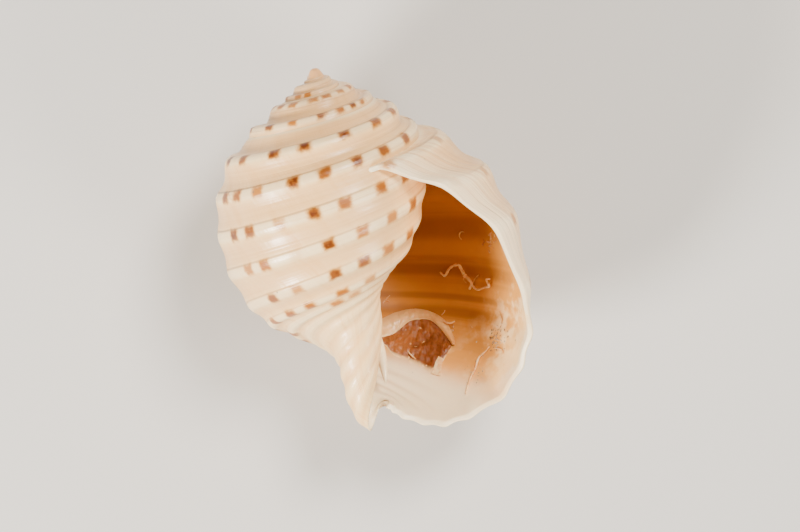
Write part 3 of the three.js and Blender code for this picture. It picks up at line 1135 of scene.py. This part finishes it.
class NodeTree:
    """Short calls for a shader's nodes."""

    def __init__(self, tree: bpy.types.NodeTree) -> None:
        """Keeps the tree that the nodes go into."""
        self.tree = tree

    def add(self, kind: str, **settings: object) -> bpy.types.Node:
        """Adds a node.

        Args:
            kind: The node's type.
            settings: Properties to set on it.

        Returns:
            The node.
        """
        node = self.tree.nodes.new(kind)
        for key, value in settings.items():
            setattr(node, key, value)
        return node

    def feed(self, node: bpy.types.Node, inputs: dict[str | int, Feed]) -> None:
        """Sets a node's inputs to constants or links them to other nodes.

        Args:
            node: The node.
            inputs: What each input gets, by its name or number.
        """
        for key, value in inputs.items():
            if isinstance(value, Socket):
                self.tree.links.new(value, node.inputs[key])
            else:
                node.inputs[key].default_value = value

    def place(self) -> Socket:
        """Places on a piece, in metres."""
        return self.add("ShaderNodeTexCoord").outputs["Object"]

    def value(self, name: str) -> Socket:
        """A value that is stored on the surface."""
        return self.add("ShaderNodeAttribute", attribute_name=name).outputs["Fac"]

    def math(self, operation: str, *inputs: Feed) -> Socket:
        """One step of arithmetic, repeated from left to right over all its inputs.

        Args:
            operation: The step.
            inputs: Its inputs.

        Returns:
            The result.
        """
        result = inputs[0]
        for other in inputs[1:] or (0.0,):
            node = self.add("ShaderNodeMath", operation=operation)
            self.feed(node, {0: result, 1: other})
            result = node.outputs[0]
        return result

    def times(self, *inputs: Feed) -> Socket:
        """The product of several values."""
        return self.math("MULTIPLY", *inputs)

    def ramp(self, value: Socket, low: Feed, high: Feed, out_low: float = 0.0,
             out_high: float = 1.0) -> Socket:
        """A smooth step from one value to another.

        Args:
            value: What it reads.
            low: Reading at which the step starts; it may lie above the other.
            high: Reading at which the step ends.
            out_low: Result at the start.
            out_high: Result at the end.

        Returns:
            The result.
        """
        node = self.add("ShaderNodeMapRange", interpolation_type="SMOOTHSTEP")
        self.feed(node, {"Value": value, "From Min": low, "From Max": high})
        self.feed(node, {"To Min": out_low, "To Max": out_high})
        return node.outputs[0]

    def noise(self, place: Socket, scale: Feed, detail: float = 3.0, rough: float = 0.5) -> Socket:
        """Noise from 0 to 1.

        Args:
            place: Where it is read.
            scale: How fine it is.
            detail: How many finer steps it has.
            rough: Strength of the finer steps.

        Returns:
            The noise.
        """
        node = self.add("ShaderNodeTexNoise")
        self.feed(node, {"Vector": place, "Scale": scale, "Detail": detail, "Roughness": rough})
        return node.outputs["Fac"]

    def coats(self, base: Feed, *coats: tuple[Socket, Feed]) -> Socket:
        """Lays colours over each other.

        Args:
            base: The lowest colour.
            coats: Mask and colour of each coat, the lowest first.

        Returns:
            The colour that shows.
        """
        for mask, tint in coats:
            node = self.add("ShaderNodeMix", data_type="RGBA")
            tinted = [number for number, socket in enumerate(node.inputs) if socket.type == "RGBA"]
            self.feed(node, {0: mask, tinted[0]: base, tinted[1]: tint})
            base = next(socket for socket in node.outputs if socket.type == "RGBA")
        return base

    def group(self, tree: bpy.types.NodeTree, **inputs: Feed) -> Socket:
        """Places a shared effect.

        Args:
            tree: The effect.
            inputs: This material's own values for it.

        Returns:
            Its result.
        """
        node = self.add("ShaderNodeGroup", node_tree=tree)
        self.feed(node, inputs)
        return node.outputs[0]

    def bump(self, height: Socket, strength: float, distance: float) -> Socket:
        """A normal from heights.

        Args:
            height: The heights.
            strength: How strongly they show.
            distance: Height of a full step, in millimetres.

        Returns:
            The normal.
        """
        node = self.add("ShaderNodeBump")
        self.feed(node, {"Strength": strength, "Distance": distance * MM, "Height": height})
        return node.outputs["Normal"]


@dataclass(frozen=True)
class Grain:
    """Noise that is drawn out along or across the whorl.

    Args:
        along: How often it changes over a turn.
        down: How often it changes from one rib to the next.
        detail: How many finer steps it has.
        rough: Strength of the finer steps.
    """

    along: float
    down: float
    detail: float
    rough: float = 0.5


class WhorlNodes(NodeTree):
    """A shader's nodes with what the wall's points keep of their place on the coil."""

    def __init__(self, tree: bpy.types.NodeTree) -> None:
        """Reads the stored values once for the whole material.

        Args:
            tree: The material's tree.
        """
        super().__init__(tree)
        self.where = self.place()
        self.rib = self.value("rib")
        self.growth = self.value("growth")
        self.turn = self.value("turn")
        self.off_crest = self.value("rib_gap")
        side = self.math("SIGN", self.math("SUBTRACT", self.rib, self.math("ROUND", self.rib)))
        self.below_crest = self.times(side, self.off_crest)

    def grain(self, grain: Grain, along: Socket) -> Socket:
        """Drawn-out noise over the wall.

        Args:
            grain: How it is drawn out.
            along: The turns or the growth places that it runs along.

        Returns:
            The noise, from 0 to 1.
        """
        node = self.add("ShaderNodeCombineXYZ")
        self.feed(node, {0: self.times(along, grain.along), 1: self.times(self.rib, grain.down)})
        return self.noise(node.outputs[0], 1.0, grain.detail, grain.rough)


class SharedEffects:
    """Effects that several finishes use, each built once as a node group."""

    def __init__(self) -> None:
        """Builds every effect."""
        self.mottle = self.make_mottle()
        self.specks = self.make_specks()

    @staticmethod
    def new_group(name: str, **inputs: float) -> tuple[NodeTree, dict[str, Socket], bpy.types.Node]:
        """Starts an effect that reads a place and some numbers and puts out a mask.

        Args:
            name: Name of the group.
            inputs: First value of each number that it reads.

        Returns:
            The group's nodes, what it reads, and the node that takes its mask.
        """
        tree = bpy.data.node_groups.new(name, "ShaderNodeTree")
        tree.interface.new_socket(name="Place", in_out="INPUT", socket_type="NodeSocketVector")
        for key, value in inputs.items():
            socket = tree.interface.new_socket(name=key, in_out="INPUT", socket_type="NodeSocketFloat")
            socket.default_value = value
        tree.interface.new_socket(name="Mask", in_out="OUTPUT", socket_type="NodeSocketFloat")
        nodes = NodeTree(tree)
        given = nodes.add("NodeGroupInput").outputs
        return nodes, {key: given[key] for key in ("Place", *inputs)}, nodes.add("NodeGroupOutput")

    def make_mottle(self) -> bpy.types.NodeTree:
        """Makes soft cloudy patches of two sizes.

        Returns:
            The group.
        """
        nodes, given, result = self.new_group("shell_mottle", Scale=60.0, Low=0.4, High=0.6)
        large = nodes.noise(given["Place"], given["Scale"], 4.0, 0.55)
        small = nodes.noise(given["Place"], nodes.times(given["Scale"], 5.0), 2.0)
        both = nodes.math("ADD", nodes.times(large, 0.75), nodes.times(small, 0.25))
        nodes.feed(result, {"Mask": nodes.ramp(both, given["Low"], given["High"])})
        return nodes.tree

    def make_specks(self) -> bpy.types.NodeTree:
        """Makes scattered tiny specks.

        Returns:
            The group.
        """
        nodes, given, result = self.new_group("shell_specks", Scale=60.0, Size=0.02)
        cells = nodes.add("ShaderNodeTexVoronoi", feature="F1")
        nodes.feed(cells, {"Vector": given["Place"], "Scale": given["Scale"]})
        edge = nodes.times(given["Size"], 1.6)
        nodes.feed(result, {"Mask": nodes.ramp(cells.outputs["Distance"], edge, given["Size"])})
        return nodes.tree


def colour(red: int, green: int, blue: int) -> Colour:
    """A colour as the eye names it, in the renderer's linear scale.

    Args:
        red: Its red, from 0 to 255.
        green: Its green.
        blue: Its blue.

    Returns:
        The colour, opaque.
    """
    shares = (red / 255, green / 255, blue / 255)
    linear = [c / 12.92 if c <= 0.04045 else ((c + 0.055) / 1.055) ** 2.4 for c in shares]
    return (*linear, 1.0)


def new_material(name: str) -> tuple[bpy.types.Material, bpy.types.Node]:
    """Starts a material.

    Args:
        name: Name of the material.

    Returns:
        The material and its shader.
    """
    material = bpy.data.materials.new(name)
    material.use_nodes = True
    return material, material.node_tree.nodes["Principled BSDF"]


@dataclass(frozen=True)
class Porcelain:
    """The shell's finish: cream, spotted and finely lined outside, brown in the throat, with painted shade.

    Args:
        cream: Colour of the outer face.
        shade: Colour of its growth streaks and clouds.
        between: Colour between the ribs and of the streaks by the lip.
        crest: Colour of the rib crests.
        edge: Colour of the fine spiral threads, and of the painted shade line just above each rib.
        spire: Colour of the worn spire, and of the painted shade on the hollow slopes above the first rib.
        spot: Colour of a spot.
        spot_dark: Colour of the darkest spots' middles.
        spot_pale: Colour of the weakest spots.
        halo: Colour round a spot.
        speck: Colour of the specks.
        lip: Colour of the lip.
        inner_cream: Colour of the inner face behind the lip.
        inner_patch: Colour of its pale patches.
        inner_tan: Colour farther in.
        inner_brown: Colour of the throat.
        inner_dark: Colour of the throat's bands, and of the painted shade deep in the throat.
        spot_size: Half a spot's length and width, in millimetres.
        bands: Rib and half width of each dark band in the throat, in ribs.
        growth_streaks: Streaks across the ribs.
        spiral_threads: Threads along the ribs.
        lip_streaks: Streaks behind the lip.
        throat_streaks: Streaks along the throat.
        growth_lines: Fine relief across the ribs.
        lip_lines: Coarser relief by the lip.
        rough: Roughness of the smoothest and of the roughest places.
    """

    cream: Colour = colour(255, 212, 148)
    shade: Colour = colour(240, 184, 112)
    between: Colour = colour(222, 162, 100)
    crest: Colour = colour(255, 234, 190)
    edge: Colour = colour(190, 128, 78)
    spire: Colour = colour(228, 170, 110)
    spot: Colour = colour(122, 58, 0)
    spot_dark: Colour = colour(88, 34, 0)
    spot_pale: Colour = colour(170, 94, 0)
    halo: Colour = colour(214, 140, 0)
    speck: Colour = colour(120, 100, 84)
    lip: Colour = colour(255, 236, 198)
    inner_cream: Colour = colour(252, 208, 138)
    inner_patch: Colour = colour(255, 222, 166)
    inner_tan: Colour = colour(226, 160, 74)
    inner_brown: Colour = colour(206, 134, 40)
    inner_dark: Colour = colour(128, 66, 6)
    spot_size: tuple[float, float] = (1.75, 1.6)
    bands: tuple[tuple[float, float], ...] = ((2.3, 0.4), (3.35, 0.3), (4.1, 0.2), (4.7, 0.12), (5.1, 0.24))
    growth_streaks: Grain = Grain(46.0, 0.35, 5.0, 0.6)
    spiral_threads: Grain = Grain(1.5, 9.0, 3.0, 0.6)
    lip_streaks: Grain = Grain(90.0, 0.3, 4.0, 0.6)
    throat_streaks: Grain = Grain(1.2, 4.0, 4.0)
    growth_lines: Grain = Grain(150.0, 0.7, 5.0, 0.55)
    lip_lines: Grain = Grain(130.0, 0.4, 4.0)
    rough: tuple[float, float] = (0.28, 0.42)

    def make(self, name: str, effects: SharedEffects) -> bpy.types.Material:
        """Makes the material.

        Args:
            name: Name of the material.
            effects: The shared effects.

        Returns:
            The new material.
        """
        material, shader = new_material(name)
        nodes = WhorlNodes(material.node_tree)
        face = nodes.ramp(nodes.value("inside"), 0.25, 0.7)
        matt = nodes.group(effects.mottle, Place=nodes.where, Scale=120.0, Low=0.3, High=0.7)
        nodes.feed(shader, {
            "Base Color": nodes.coats(self.outside(nodes, effects), (face, self.inside(nodes, effects))),
            "Normal": self.relief(nodes, face),
            "Roughness": nodes.ramp(matt, 0.0, 1.0, *self.rough),
            "Coat Weight": 0.2,
            "Coat Roughness": 0.16,
            "Subsurface Weight": 0.1,
            "Subsurface Radius": (0.003, 0.0018, 0.001),
            "Subsurface Scale": 0.6,
        })
        return material

    def outside(self, nodes: WhorlNodes, effects: SharedEffects) -> Socket:
        """Colour of the outer face.

        Args:
            nodes: The material's nodes.
            effects: The shared effects.

        Returns:
            The colour.
        """
        rib, growth, turn, off_crest = nodes.rib, nodes.growth, nodes.turn, nodes.off_crest
        clouds = nodes.group(effects.mottle, Place=nodes.where, Scale=45.0, Low=0.42, High=0.62)
        old = nodes.ramp(turn, -0.9, -2.4, 0.0, 0.8)
        # Painted shade: the hollow slopes above the first rib, which face the apex, take the spire's tan.
        slope = nodes.times(nodes.ramp(rib, 1.0, 0.2, 0.0, 0.35), nodes.ramp(turn, -0.3, -0.8))
        crest = nodes.times(nodes.ramp(off_crest, 2.2, 0.7, 0.0, 0.45), nodes.ramp(rib, 7.0, 9.0, 1.0, 0.35),
                            nodes.ramp(turn, -1.6, -2.6, 1.0, 0.4))
        threads = nodes.times(nodes.ramp(nodes.grain(self.spiral_threads, growth), 0.5, 0.68),
                              nodes.ramp(turn, -0.6, -1.1, 0.1, 0.4))
        below = nodes.below_crest
        # Painted shade: a thin dark band just above each rib crest, standing in for the shadow on the slope
        # above the rib.
        line = nodes.times(nodes.ramp(below, -2.3, -1.7), nodes.ramp(below, -1.2, -1.7),
                           nodes.ramp(rib, 9.0, 7.0, 0.0, 0.2))
        near_lip = nodes.times(nodes.ramp(growth, -0.22, -0.1), nodes.ramp(growth, -0.006, -0.03))
        lip_streaks = nodes.ramp(nodes.grain(self.lip_streaks, growth), 0.45, 0.7, 0.0, 0.7)
        base = nodes.coats(
            self.cream,
            (nodes.ramp(nodes.grain(self.growth_streaks, growth), 0.45, 0.75, 0.0, 0.7), self.shade),
            (nodes.ramp(off_crest, 1.2, 3.6, 0.0, 0.45), self.between),
            (nodes.times(clouds, 0.35), self.shade),
            # The worn spire's own tan, and painted shade on the slopes above the first rib.
            (nodes.math("MAXIMUM", old, slope), self.spire),
            (crest, self.crest),
            (threads, self.edge),
            # The painted shade line above each rib.
            (line, self.edge),
            (nodes.ramp(growth, -0.1, 0.0, 0.0, 0.7), self.lip),
            (nodes.times(lip_streaks, near_lip), self.between),
        )
        specks = nodes.group(effects.specks, Place=nodes.where, Scale=110.0, Size=0.028)
        return nodes.coats(self.spots(nodes, base), (nodes.times(specks, 0.6), self.speck))

    def spots(self, nodes: WhorlNodes, base: Socket) -> Socket:
        """Lays the spots over the base: a brown middle that goes through orange to nothing.

        Args:
            nodes: The material's nodes.
            base: Colour of the outer face without them.

        Returns:
            The colour with them.
        """
        small = nodes.ramp(nodes.turn, -0.8, -2.6, 1.0, 0.5)
        warp = nodes.times(nodes.math("SUBTRACT", nodes.noise(nodes.where, 520, 3.0), 0.5), 1.6)
        away = [nodes.math("DIVIDE", nodes.math("ADD", gap, warp), small)
                for gap in (nodes.value("spot_gap"), nodes.off_crest)]
        power = nodes.value("spot_power")
        blotch = nodes.ramp(nodes.noise(nodes.where, 650, 2.0), 0.45, 0.6)
        tone = nodes.coats(self.spot_pale, (nodes.ramp(power, 0.35, 0.85), self.spot))
        halo = nodes.times(self.within(nodes, away, 0.15, 0.9), nodes.ramp(power, 0.0, 0.5, 0.0, 0.9))
        middle = nodes.times(self.within(nodes, away, -0.2, 0.7), nodes.ramp(power, 0.0, 0.5, 0.0, 0.95))
        dark = nodes.times(self.within(nodes, away, -0.6, 0.6), nodes.ramp(power, 0.6, 1.0, 0.0, 0.85),
                           blotch)
        return nodes.coats(base, (halo, self.halo), (middle, tone), (dark, self.spot_dark))

    def within(self, nodes: WhorlNodes, away: list[Socket], reach: float, soft: float) -> Socket:
        """Mask of a soft square about a spot's middle.

        Args:
            nodes: The material's nodes.
            away: Distances along and across the rib from the spot's middle, in millimetres.
            reach: How far it reaches past the spot's own size, in millimetres.
            soft: Half the width of its soft edge, in millimetres.

        Returns:
            The mask.
        """
        halves = [half + reach for half in self.spot_size]
        return nodes.times(*(nodes.ramp(gap, half + soft, half - soft) for gap, half in zip(away, halves)))

    def inside(self, nodes: WhorlNodes, effects: SharedEffects) -> Socket:
        """Colour of the inner face, from the white lip to the brown throat, with painted shade farther in.

        Args:
            nodes: The material's nodes.
            effects: The shared effects.

        Returns:
            The colour.
        """
        wander = nodes.times(nodes.math("SUBTRACT", nodes.noise(nodes.where, 80, 6.0, 0.62), 0.5), 34.0)
        past = nodes.math("ADD", nodes.value("past_lip"), wander)
        low = nodes.math("ADD", nodes.rib, nodes.times(wander, 0.03))
        near = nodes.times(nodes.ramp(past, 4.0, 8.0), nodes.ramp(past, 40.0, 16.0))
        bands = 0.0
        for middle, half in self.bands:
            off = nodes.math("ABSOLUTE", nodes.math("SUBTRACT", nodes.rib, middle))
            bands = nodes.math("MAXIMUM", bands, nodes.ramp(off, half, half * 0.25))
        streaks = nodes.ramp(nodes.grain(self.throat_streaks, nodes.turn), 0.45, 0.8, 0.0, 0.4)
        bands = nodes.math("MAXIMUM", nodes.times(bands, 0.5), streaks)
        clouds = nodes.group(effects.mottle, Place=nodes.where, Scale=75.0, Low=0.47, High=0.56)
        specks = nodes.group(effects.specks, Place=nodes.where, Scale=180.0, Size=0.035)
        return nodes.coats(
            self.lip,
            (nodes.ramp(past, 5.0, 10.0), self.inner_cream),
            (nodes.ramp(past, 9.0, 20.0), self.inner_tan),
            (nodes.ramp(past, 18.0, 60.0), self.inner_brown),
            # Painted shade: the throat darkens far in from the lip.
            (nodes.ramp(past, 62.0, 110.0, 0.0, 0.65), self.inner_dark),
            (nodes.times(bands, nodes.ramp(past, 14.0, 40.0)), self.inner_dark),
            (nodes.times(clouds, near, 0.8), self.inner_patch),
            (nodes.ramp(low, 5.6, 7.2, 0.0, 0.6), self.inner_tan),
            (nodes.ramp(low, 6.6, 7.9, 0.0, 0.95), self.lip),
            (nodes.times(specks, near, 0.7), self.speck),
        )

    def relief(self, nodes: WhorlNodes, face: Socket) -> Socket:
        """Fine spiral threads, growth lines and a low step up to each rib; the inside is nearly smooth.

        Args:
            nodes: The material's nodes.
            face: 0 on the outer face and 1 on the inner face.

        Returns:
            The normal.
        """
        rib, growth, turn, below = nodes.rib, nodes.growth, nodes.turn, nodes.below_crest
        step = nodes.times(nodes.ramp(below, -2.0, -1.25), nodes.ramp(below, 4.0, 0.5))
        height = nodes.math(
            "ADD",
            nodes.times(nodes.grain(self.spiral_threads, growth), nodes.ramp(turn, -0.6, -1.3, 0.7, 3.0)),
            nodes.times(nodes.grain(self.growth_lines, growth), nodes.ramp(turn, -1.2, -0.6, 0.25, 0.6)),
            nodes.times(nodes.grain(self.lip_lines, growth), nodes.ramp(growth, -0.14, -0.04, 0.0, 3.5)),
            nodes.times(step, nodes.ramp(rib, 9.0, 7.0, 0.0, 2.2), nodes.ramp(growth, -0.02, -0.12)),
        )
        outer = nodes.math("SUBTRACT", 1.0, nodes.times(face, 0.85))
        return nodes.bump(nodes.times(height, outer), 0.5, 0.45)


@dataclass(frozen=True)
class Nacre:
    """The smooth white of the columella, creamier higher up.

    Args:
        white: Its colour.
        tan: Colour of its clouds.
    """

    white: Colour = colour(255, 228, 182)
    tan: Colour = colour(236, 192, 130)

    def make(self, name: str, effects: SharedEffects) -> bpy.types.Material:
        """Makes the material.

        Args:
            name: Name of the material.
            effects: The shared effects.

        Returns:
            The new material.
        """
        material, shader = new_material(name)
        nodes = NodeTree(material.node_tree)
        place = nodes.place()
        clouds = nodes.group(effects.mottle, Place=place, Scale=90.0, Low=0.42, High=0.66)
        fine = nodes.noise(place, 900, 3.0)
        nodes.feed(shader, {
            "Base Color": nodes.coats(self.white, (nodes.times(clouds, 0.5), self.tan)),
            "Roughness": nodes.ramp(fine, 0.3, 0.7, 0.24, 0.34),
            "Normal": nodes.bump(fine, 0.15, 0.1),
            "Coat Weight": 0.3,
            "Coat Roughness": 0.15,
        })
        return material


@dataclass(frozen=True)
class DriedTissue:
    """Dried skin: streaked, blotched and faintly glossy.

    Args:
        pale: Colour of its raised and dry places.
        deep: Colour of its thin or sunk places.
        speck: Colour of its dark specks.
        specks: Strength of its dark specks.
        border: Colour along a skin's lower edge.
        fade: Where down a skin the border's colour starts, from 0 to 1.
        scale: How fine its blotches are.
        rough: Roughness of the smoothest and of the roughest places.
        see_through: How much light goes into it.
    """

    pale: Colour
    deep: Colour
    speck: Colour = colour(96, 62, 40)
    specks: float = 0.6
    border: Colour = colour(246, 204, 148)
    fade: float = 0.86
    scale: float = 260.0
    rough: tuple[float, float] = (0.32, 0.6)
    see_through: float = 0.2

    def make(self, name: str, effects: SharedEffects) -> bpy.types.Material:
        """Makes the material.

        Args:
            name: Name of the material.
            effects: The shared effects.

        Returns:
            The new material.
        """
        material, shader = new_material(name)
        nodes = NodeTree(material.node_tree)
        place = nodes.place()
        patches = nodes.group(effects.mottle, Place=place, Scale=self.scale, Low=0.4, High=0.62)
        dots = nodes.group(effects.specks, Place=place, Scale=420.0, Size=0.1)
        fine = nodes.noise(place, 1400, 4.0, 0.6)
        height = nodes.math("ADD", nodes.times(patches, 0.6), nodes.times(fine, 0.5))
        nodes.feed(shader, {
            "Base Color": nodes.coats(
                self.deep,
                (patches, self.pale),
                (nodes.times(dots, self.specks), self.speck),
                (nodes.ramp(nodes.value("lowness"), self.fade, 1.0), self.border),
            ),
            "Roughness": nodes.ramp(fine, 0.3, 0.7, *self.rough),
            "Normal": nodes.bump(height, 0.3, 0.25),
            "Subsurface Weight": self.see_through,
            "Subsurface Radius": (0.002, 0.0009, 0.0004),
            "Subsurface Scale": 0.5,
        })
        return material


class Remains(Enum):
    """The dried remains' finishes."""

    RIM = DriedTissue(colour(232, 182, 118), colour(212, 154, 88), specks=0.1, scale=110.0, rough=(0.3, 0.45))
    FILM = DriedTissue(colour(150, 86, 34), colour(112, 56, 12), specks=0.2, scale=90.0, rough=(0.4, 0.55))
    THREAD = DriedTissue(colour(248, 210, 156), colour(226, 170, 108), specks=0.2)
    CRUMB = DriedTissue(colour(224, 172, 118), colour(190, 128, 76), specks=0.5)
    GREY = DriedTissue(colour(226, 200, 168), colour(148, 116, 84), specks=0.9)


@dataclass(frozen=True)
class Lamp:
    """A soft round lamp that faces the shell.

    Args:
        name: Name of the lamp.
        place: Where it hangs, in metres.
        size: Its width in metres.
        power: Its power in watts.
        tint: Its colour.
        aim: Height over the floor that it faces, in metres.
    """

    name: str
    place: tuple[float, float, float]
    size: float
    power: float
    tint: tuple[float, float, float] = (1.0, 0.96, 0.9)
    aim: float = 0.03

    def hang(self) -> None:
        """Adds the lamp to the scene."""
        light = bpy.data.lights.new(self.name, "AREA")
        light.shape = "DISK"
        light.size = self.size
        light.energy = self.power
        light.color = self.tint
        lamp = bpy.data.objects.new(self.name, light)
        lamp.location = self.place
        ahead = Vector((0, 0, self.aim)) - Vector(self.place)
        lamp.rotation_euler = ahead.to_track_quat("-Z", "Y").to_euler()
        bpy.context.collection.objects.link(lamp)


@dataclass
class Studio:
    """The pale floor, the soft light and the camera.

    Args:
        photo: The photograph whose view the camera has.
        coil: The coil, which knows where the shell lies.
        sensor: Width of the camera's sensor, in millimetres.
        clip: Nearest and farthest distance that the camera sees, in metres.
        floor_size: Width of the floor, in metres.
        paper: Colour of the floor.
        sky: Colour of the light from all sides.
        sky_strength: Strength of that light.
        lamps: From the lower left, from the right, and a high one into the mouth.
    """

    photo: Photograph
    coil: Coil
    sensor: float = 36.0
    clip: tuple[float, float] = (0.1, 20.0)
    floor_size: float = 6.0
    paper: Colour = colour(196, 193, 188)
    sky: Colour = (1.0, 0.97, 0.93, 1.0)
    sky_strength: float = 0.2
    lamps: tuple[Lamp, ...] = (
        Lamp("left", (-0.62, -0.45, 0.45), 0.28, 21.0),
        Lamp("right", (0.6, -0.35, 0.5), 0.3, 6.0),
        Lamp("high", (0.28, 0.45, 0.8), 0.3, 15.0, (1.0, 0.94, 0.86)),
    )

    def floor(self) -> None:
        """A wide pale floor at the height that the shell lies on."""
        bpy.ops.object.select_all(action="DESELECT")
        bpy.ops.mesh.primitive_plane_add(size=self.floor_size, location=(0, 0, 0))
        floor = bpy.context.object
        floor.name = "floor"
        material, shader = new_material("floor_paper")
        shader.inputs["Base Color"].default_value = self.paper
        shader.inputs["Roughness"].default_value = 0.9
        floor.data.materials.append(material)
        log.info("floor")

    def lights(self) -> None:
        """Hangs the lamps under a dim sky."""
        for lamp in self.lamps:
            lamp.hang()
        world = bpy.data.worlds.new("studio")
        world.use_nodes = True
        background = world.node_tree.nodes["Background"]
        background.inputs["Color"].default_value = self.sky
        background.inputs["Strength"].default_value = self.sky_strength
        bpy.context.scene.world = world
        log.info("lamps: %d", len(self.lamps))

    def camera(self) -> None:
        """A long lens straight above the photograph's middle."""
        data = bpy.data.cameras.new("camera")
        data.sensor_width = self.sensor
        data.lens = self.sensor * self.photo.distance / (self.photo.size[0] * self.photo.scale)
        data.clip_start, data.clip_end = self.clip
        camera = bpy.data.objects.new("camera", data)
        place = (LIE.settled() @ self.photo.eye() + self.coil.offset) * MM
        camera.matrix_world = Matrix.Translation(place) @ LIE.settled().to_4x4()
        bpy.context.collection.objects.link(camera)
        bpy.context.scene.camera = camera
        log.info("camera with a lens of %.0f mm", data.lens)


@dataclass
class Shell:
    """The shell's pieces and what lies in its mouth.

    Args:
        coil: The coil that the wall is wound by.
        photo: The photograph that shows the spots and the remains.
        effects: Effects that the finishes share.
    """

    coil: Coil
    photo: Photograph
    effects: SharedEffects

    def add(self, piece: bpy.types.Object, material: bpy.types.Material) -> None:
        """Dresses a piece, lets it ride on the shell's one body and reports it.

        Args:
            piece: The piece.
            material: Its finish.
        """
        piece.data.materials.append(material)
        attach(piece, BODY)
        log.info("%s: %d faces", piece.name, len(piece.data.polygons))

    def build(self) -> None:
        """Makes all the pieces."""
        spots = Spots(self.coil, self.photo)
        spots.gather()
        porcelain = Porcelain().make("shell_porcelain", self.effects)
        wall = WallSheet(self.coil, spots).build("shell_wall")
        self.add(wall, porcelain)
        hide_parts(NODE)
        marks = {"turn": FIRST_TURN, "rib": 0.5, "growth": FIRST_TURN, "rib_gap": 9.0,
                 "spot_gap": CLEAR_OF_SPOTS}
        self.add(APEX_BUD.build("shell_apex", self.coil, marks), porcelain)
        self.add(COLUMELLA.build("shell_columella", self.coil, {}), Nacre().make("shell_nacre", self.effects))
        self.remains(Mouth(wall, self.photo, self.coil))

    def remains(self, mouth: Mouth) -> None:
        """Lays the dried remains in the mouth.

        Args:
            mouth: The inner wall that they lie on.
        """
        finish = {kind: kind.value.make(f"dried_{kind.name.lower()}", self.effects) for kind in Remains}
        kinds = {"dried_rim": Remains.RIM, "dried_film": Remains.FILM, "dried_flap": Remains.THREAD}
        for name, skin in SKINS.items():
            self.add(skin.build(name, mouth), finish[kinds[name]])
        for number, strand in enumerate(STRANDS, 1):
            self.add(strand.build(f"dried_thread_{number:02d}", mouth), finish[Remains.THREAD])
        for name, crumbs in CRUMBS.items():
            kind = Remains.GREY if name in ("crumbs_side", "crumbs_low") else Remains.CRUMB
            self.add(crumbs.build(name, mouth), finish[kind])


def settle_on_frame(coil: Coil) -> None:
    """Sets the coil's offset so that the wall lies where the frame's does, at the same marks along the coil.

    Args:
        coil: The coil.
    """
    low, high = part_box(NODE)
    ribs = [step / 2 for step in range(2 * FINE_RIBS)] + list(range(FINE_RIBS, coil.last_rib + 1))
    rib, turn = np.array([(rib, turn) for rib in ribs for turn in FRAME_TURNS], float).T
    end = coil.lip_turn(rib)
    toward_lip = turn > LAST_STRETCH
    turn = np.where(toward_lip, LAST_STRETCH + (end - LAST_STRETCH) * (turn / -LAST_STRETCH + 1), turn)
    points = coil.point(rib, turn, np.zeros_like(rib)) @ np.array(LIE.settled() @ LIE.seen()).T
    small, large = points.min(0), points.max(0)
    coil.offset = Vector((
        (low[0] + high[0]) / 2 / MM - (small[0] + large[0]) / 2,
        low[1] / MM - small[1],
        low[2] / MM - small[2] - LIE.worn,
    ))
    log.info("offset %s", coil.offset)


def main() -> None:
    """Builds the shell, its stage, the light and the camera."""
    coil = Coil()
    photo = Photograph()
    settle_on_frame(coil)
    Shell(coil, photo, SharedEffects()).build()
    studio = Studio(photo, coil)
    studio.floor()
    studio.lights()
    studio.camera()


if __name__ == "__main__":
    main()
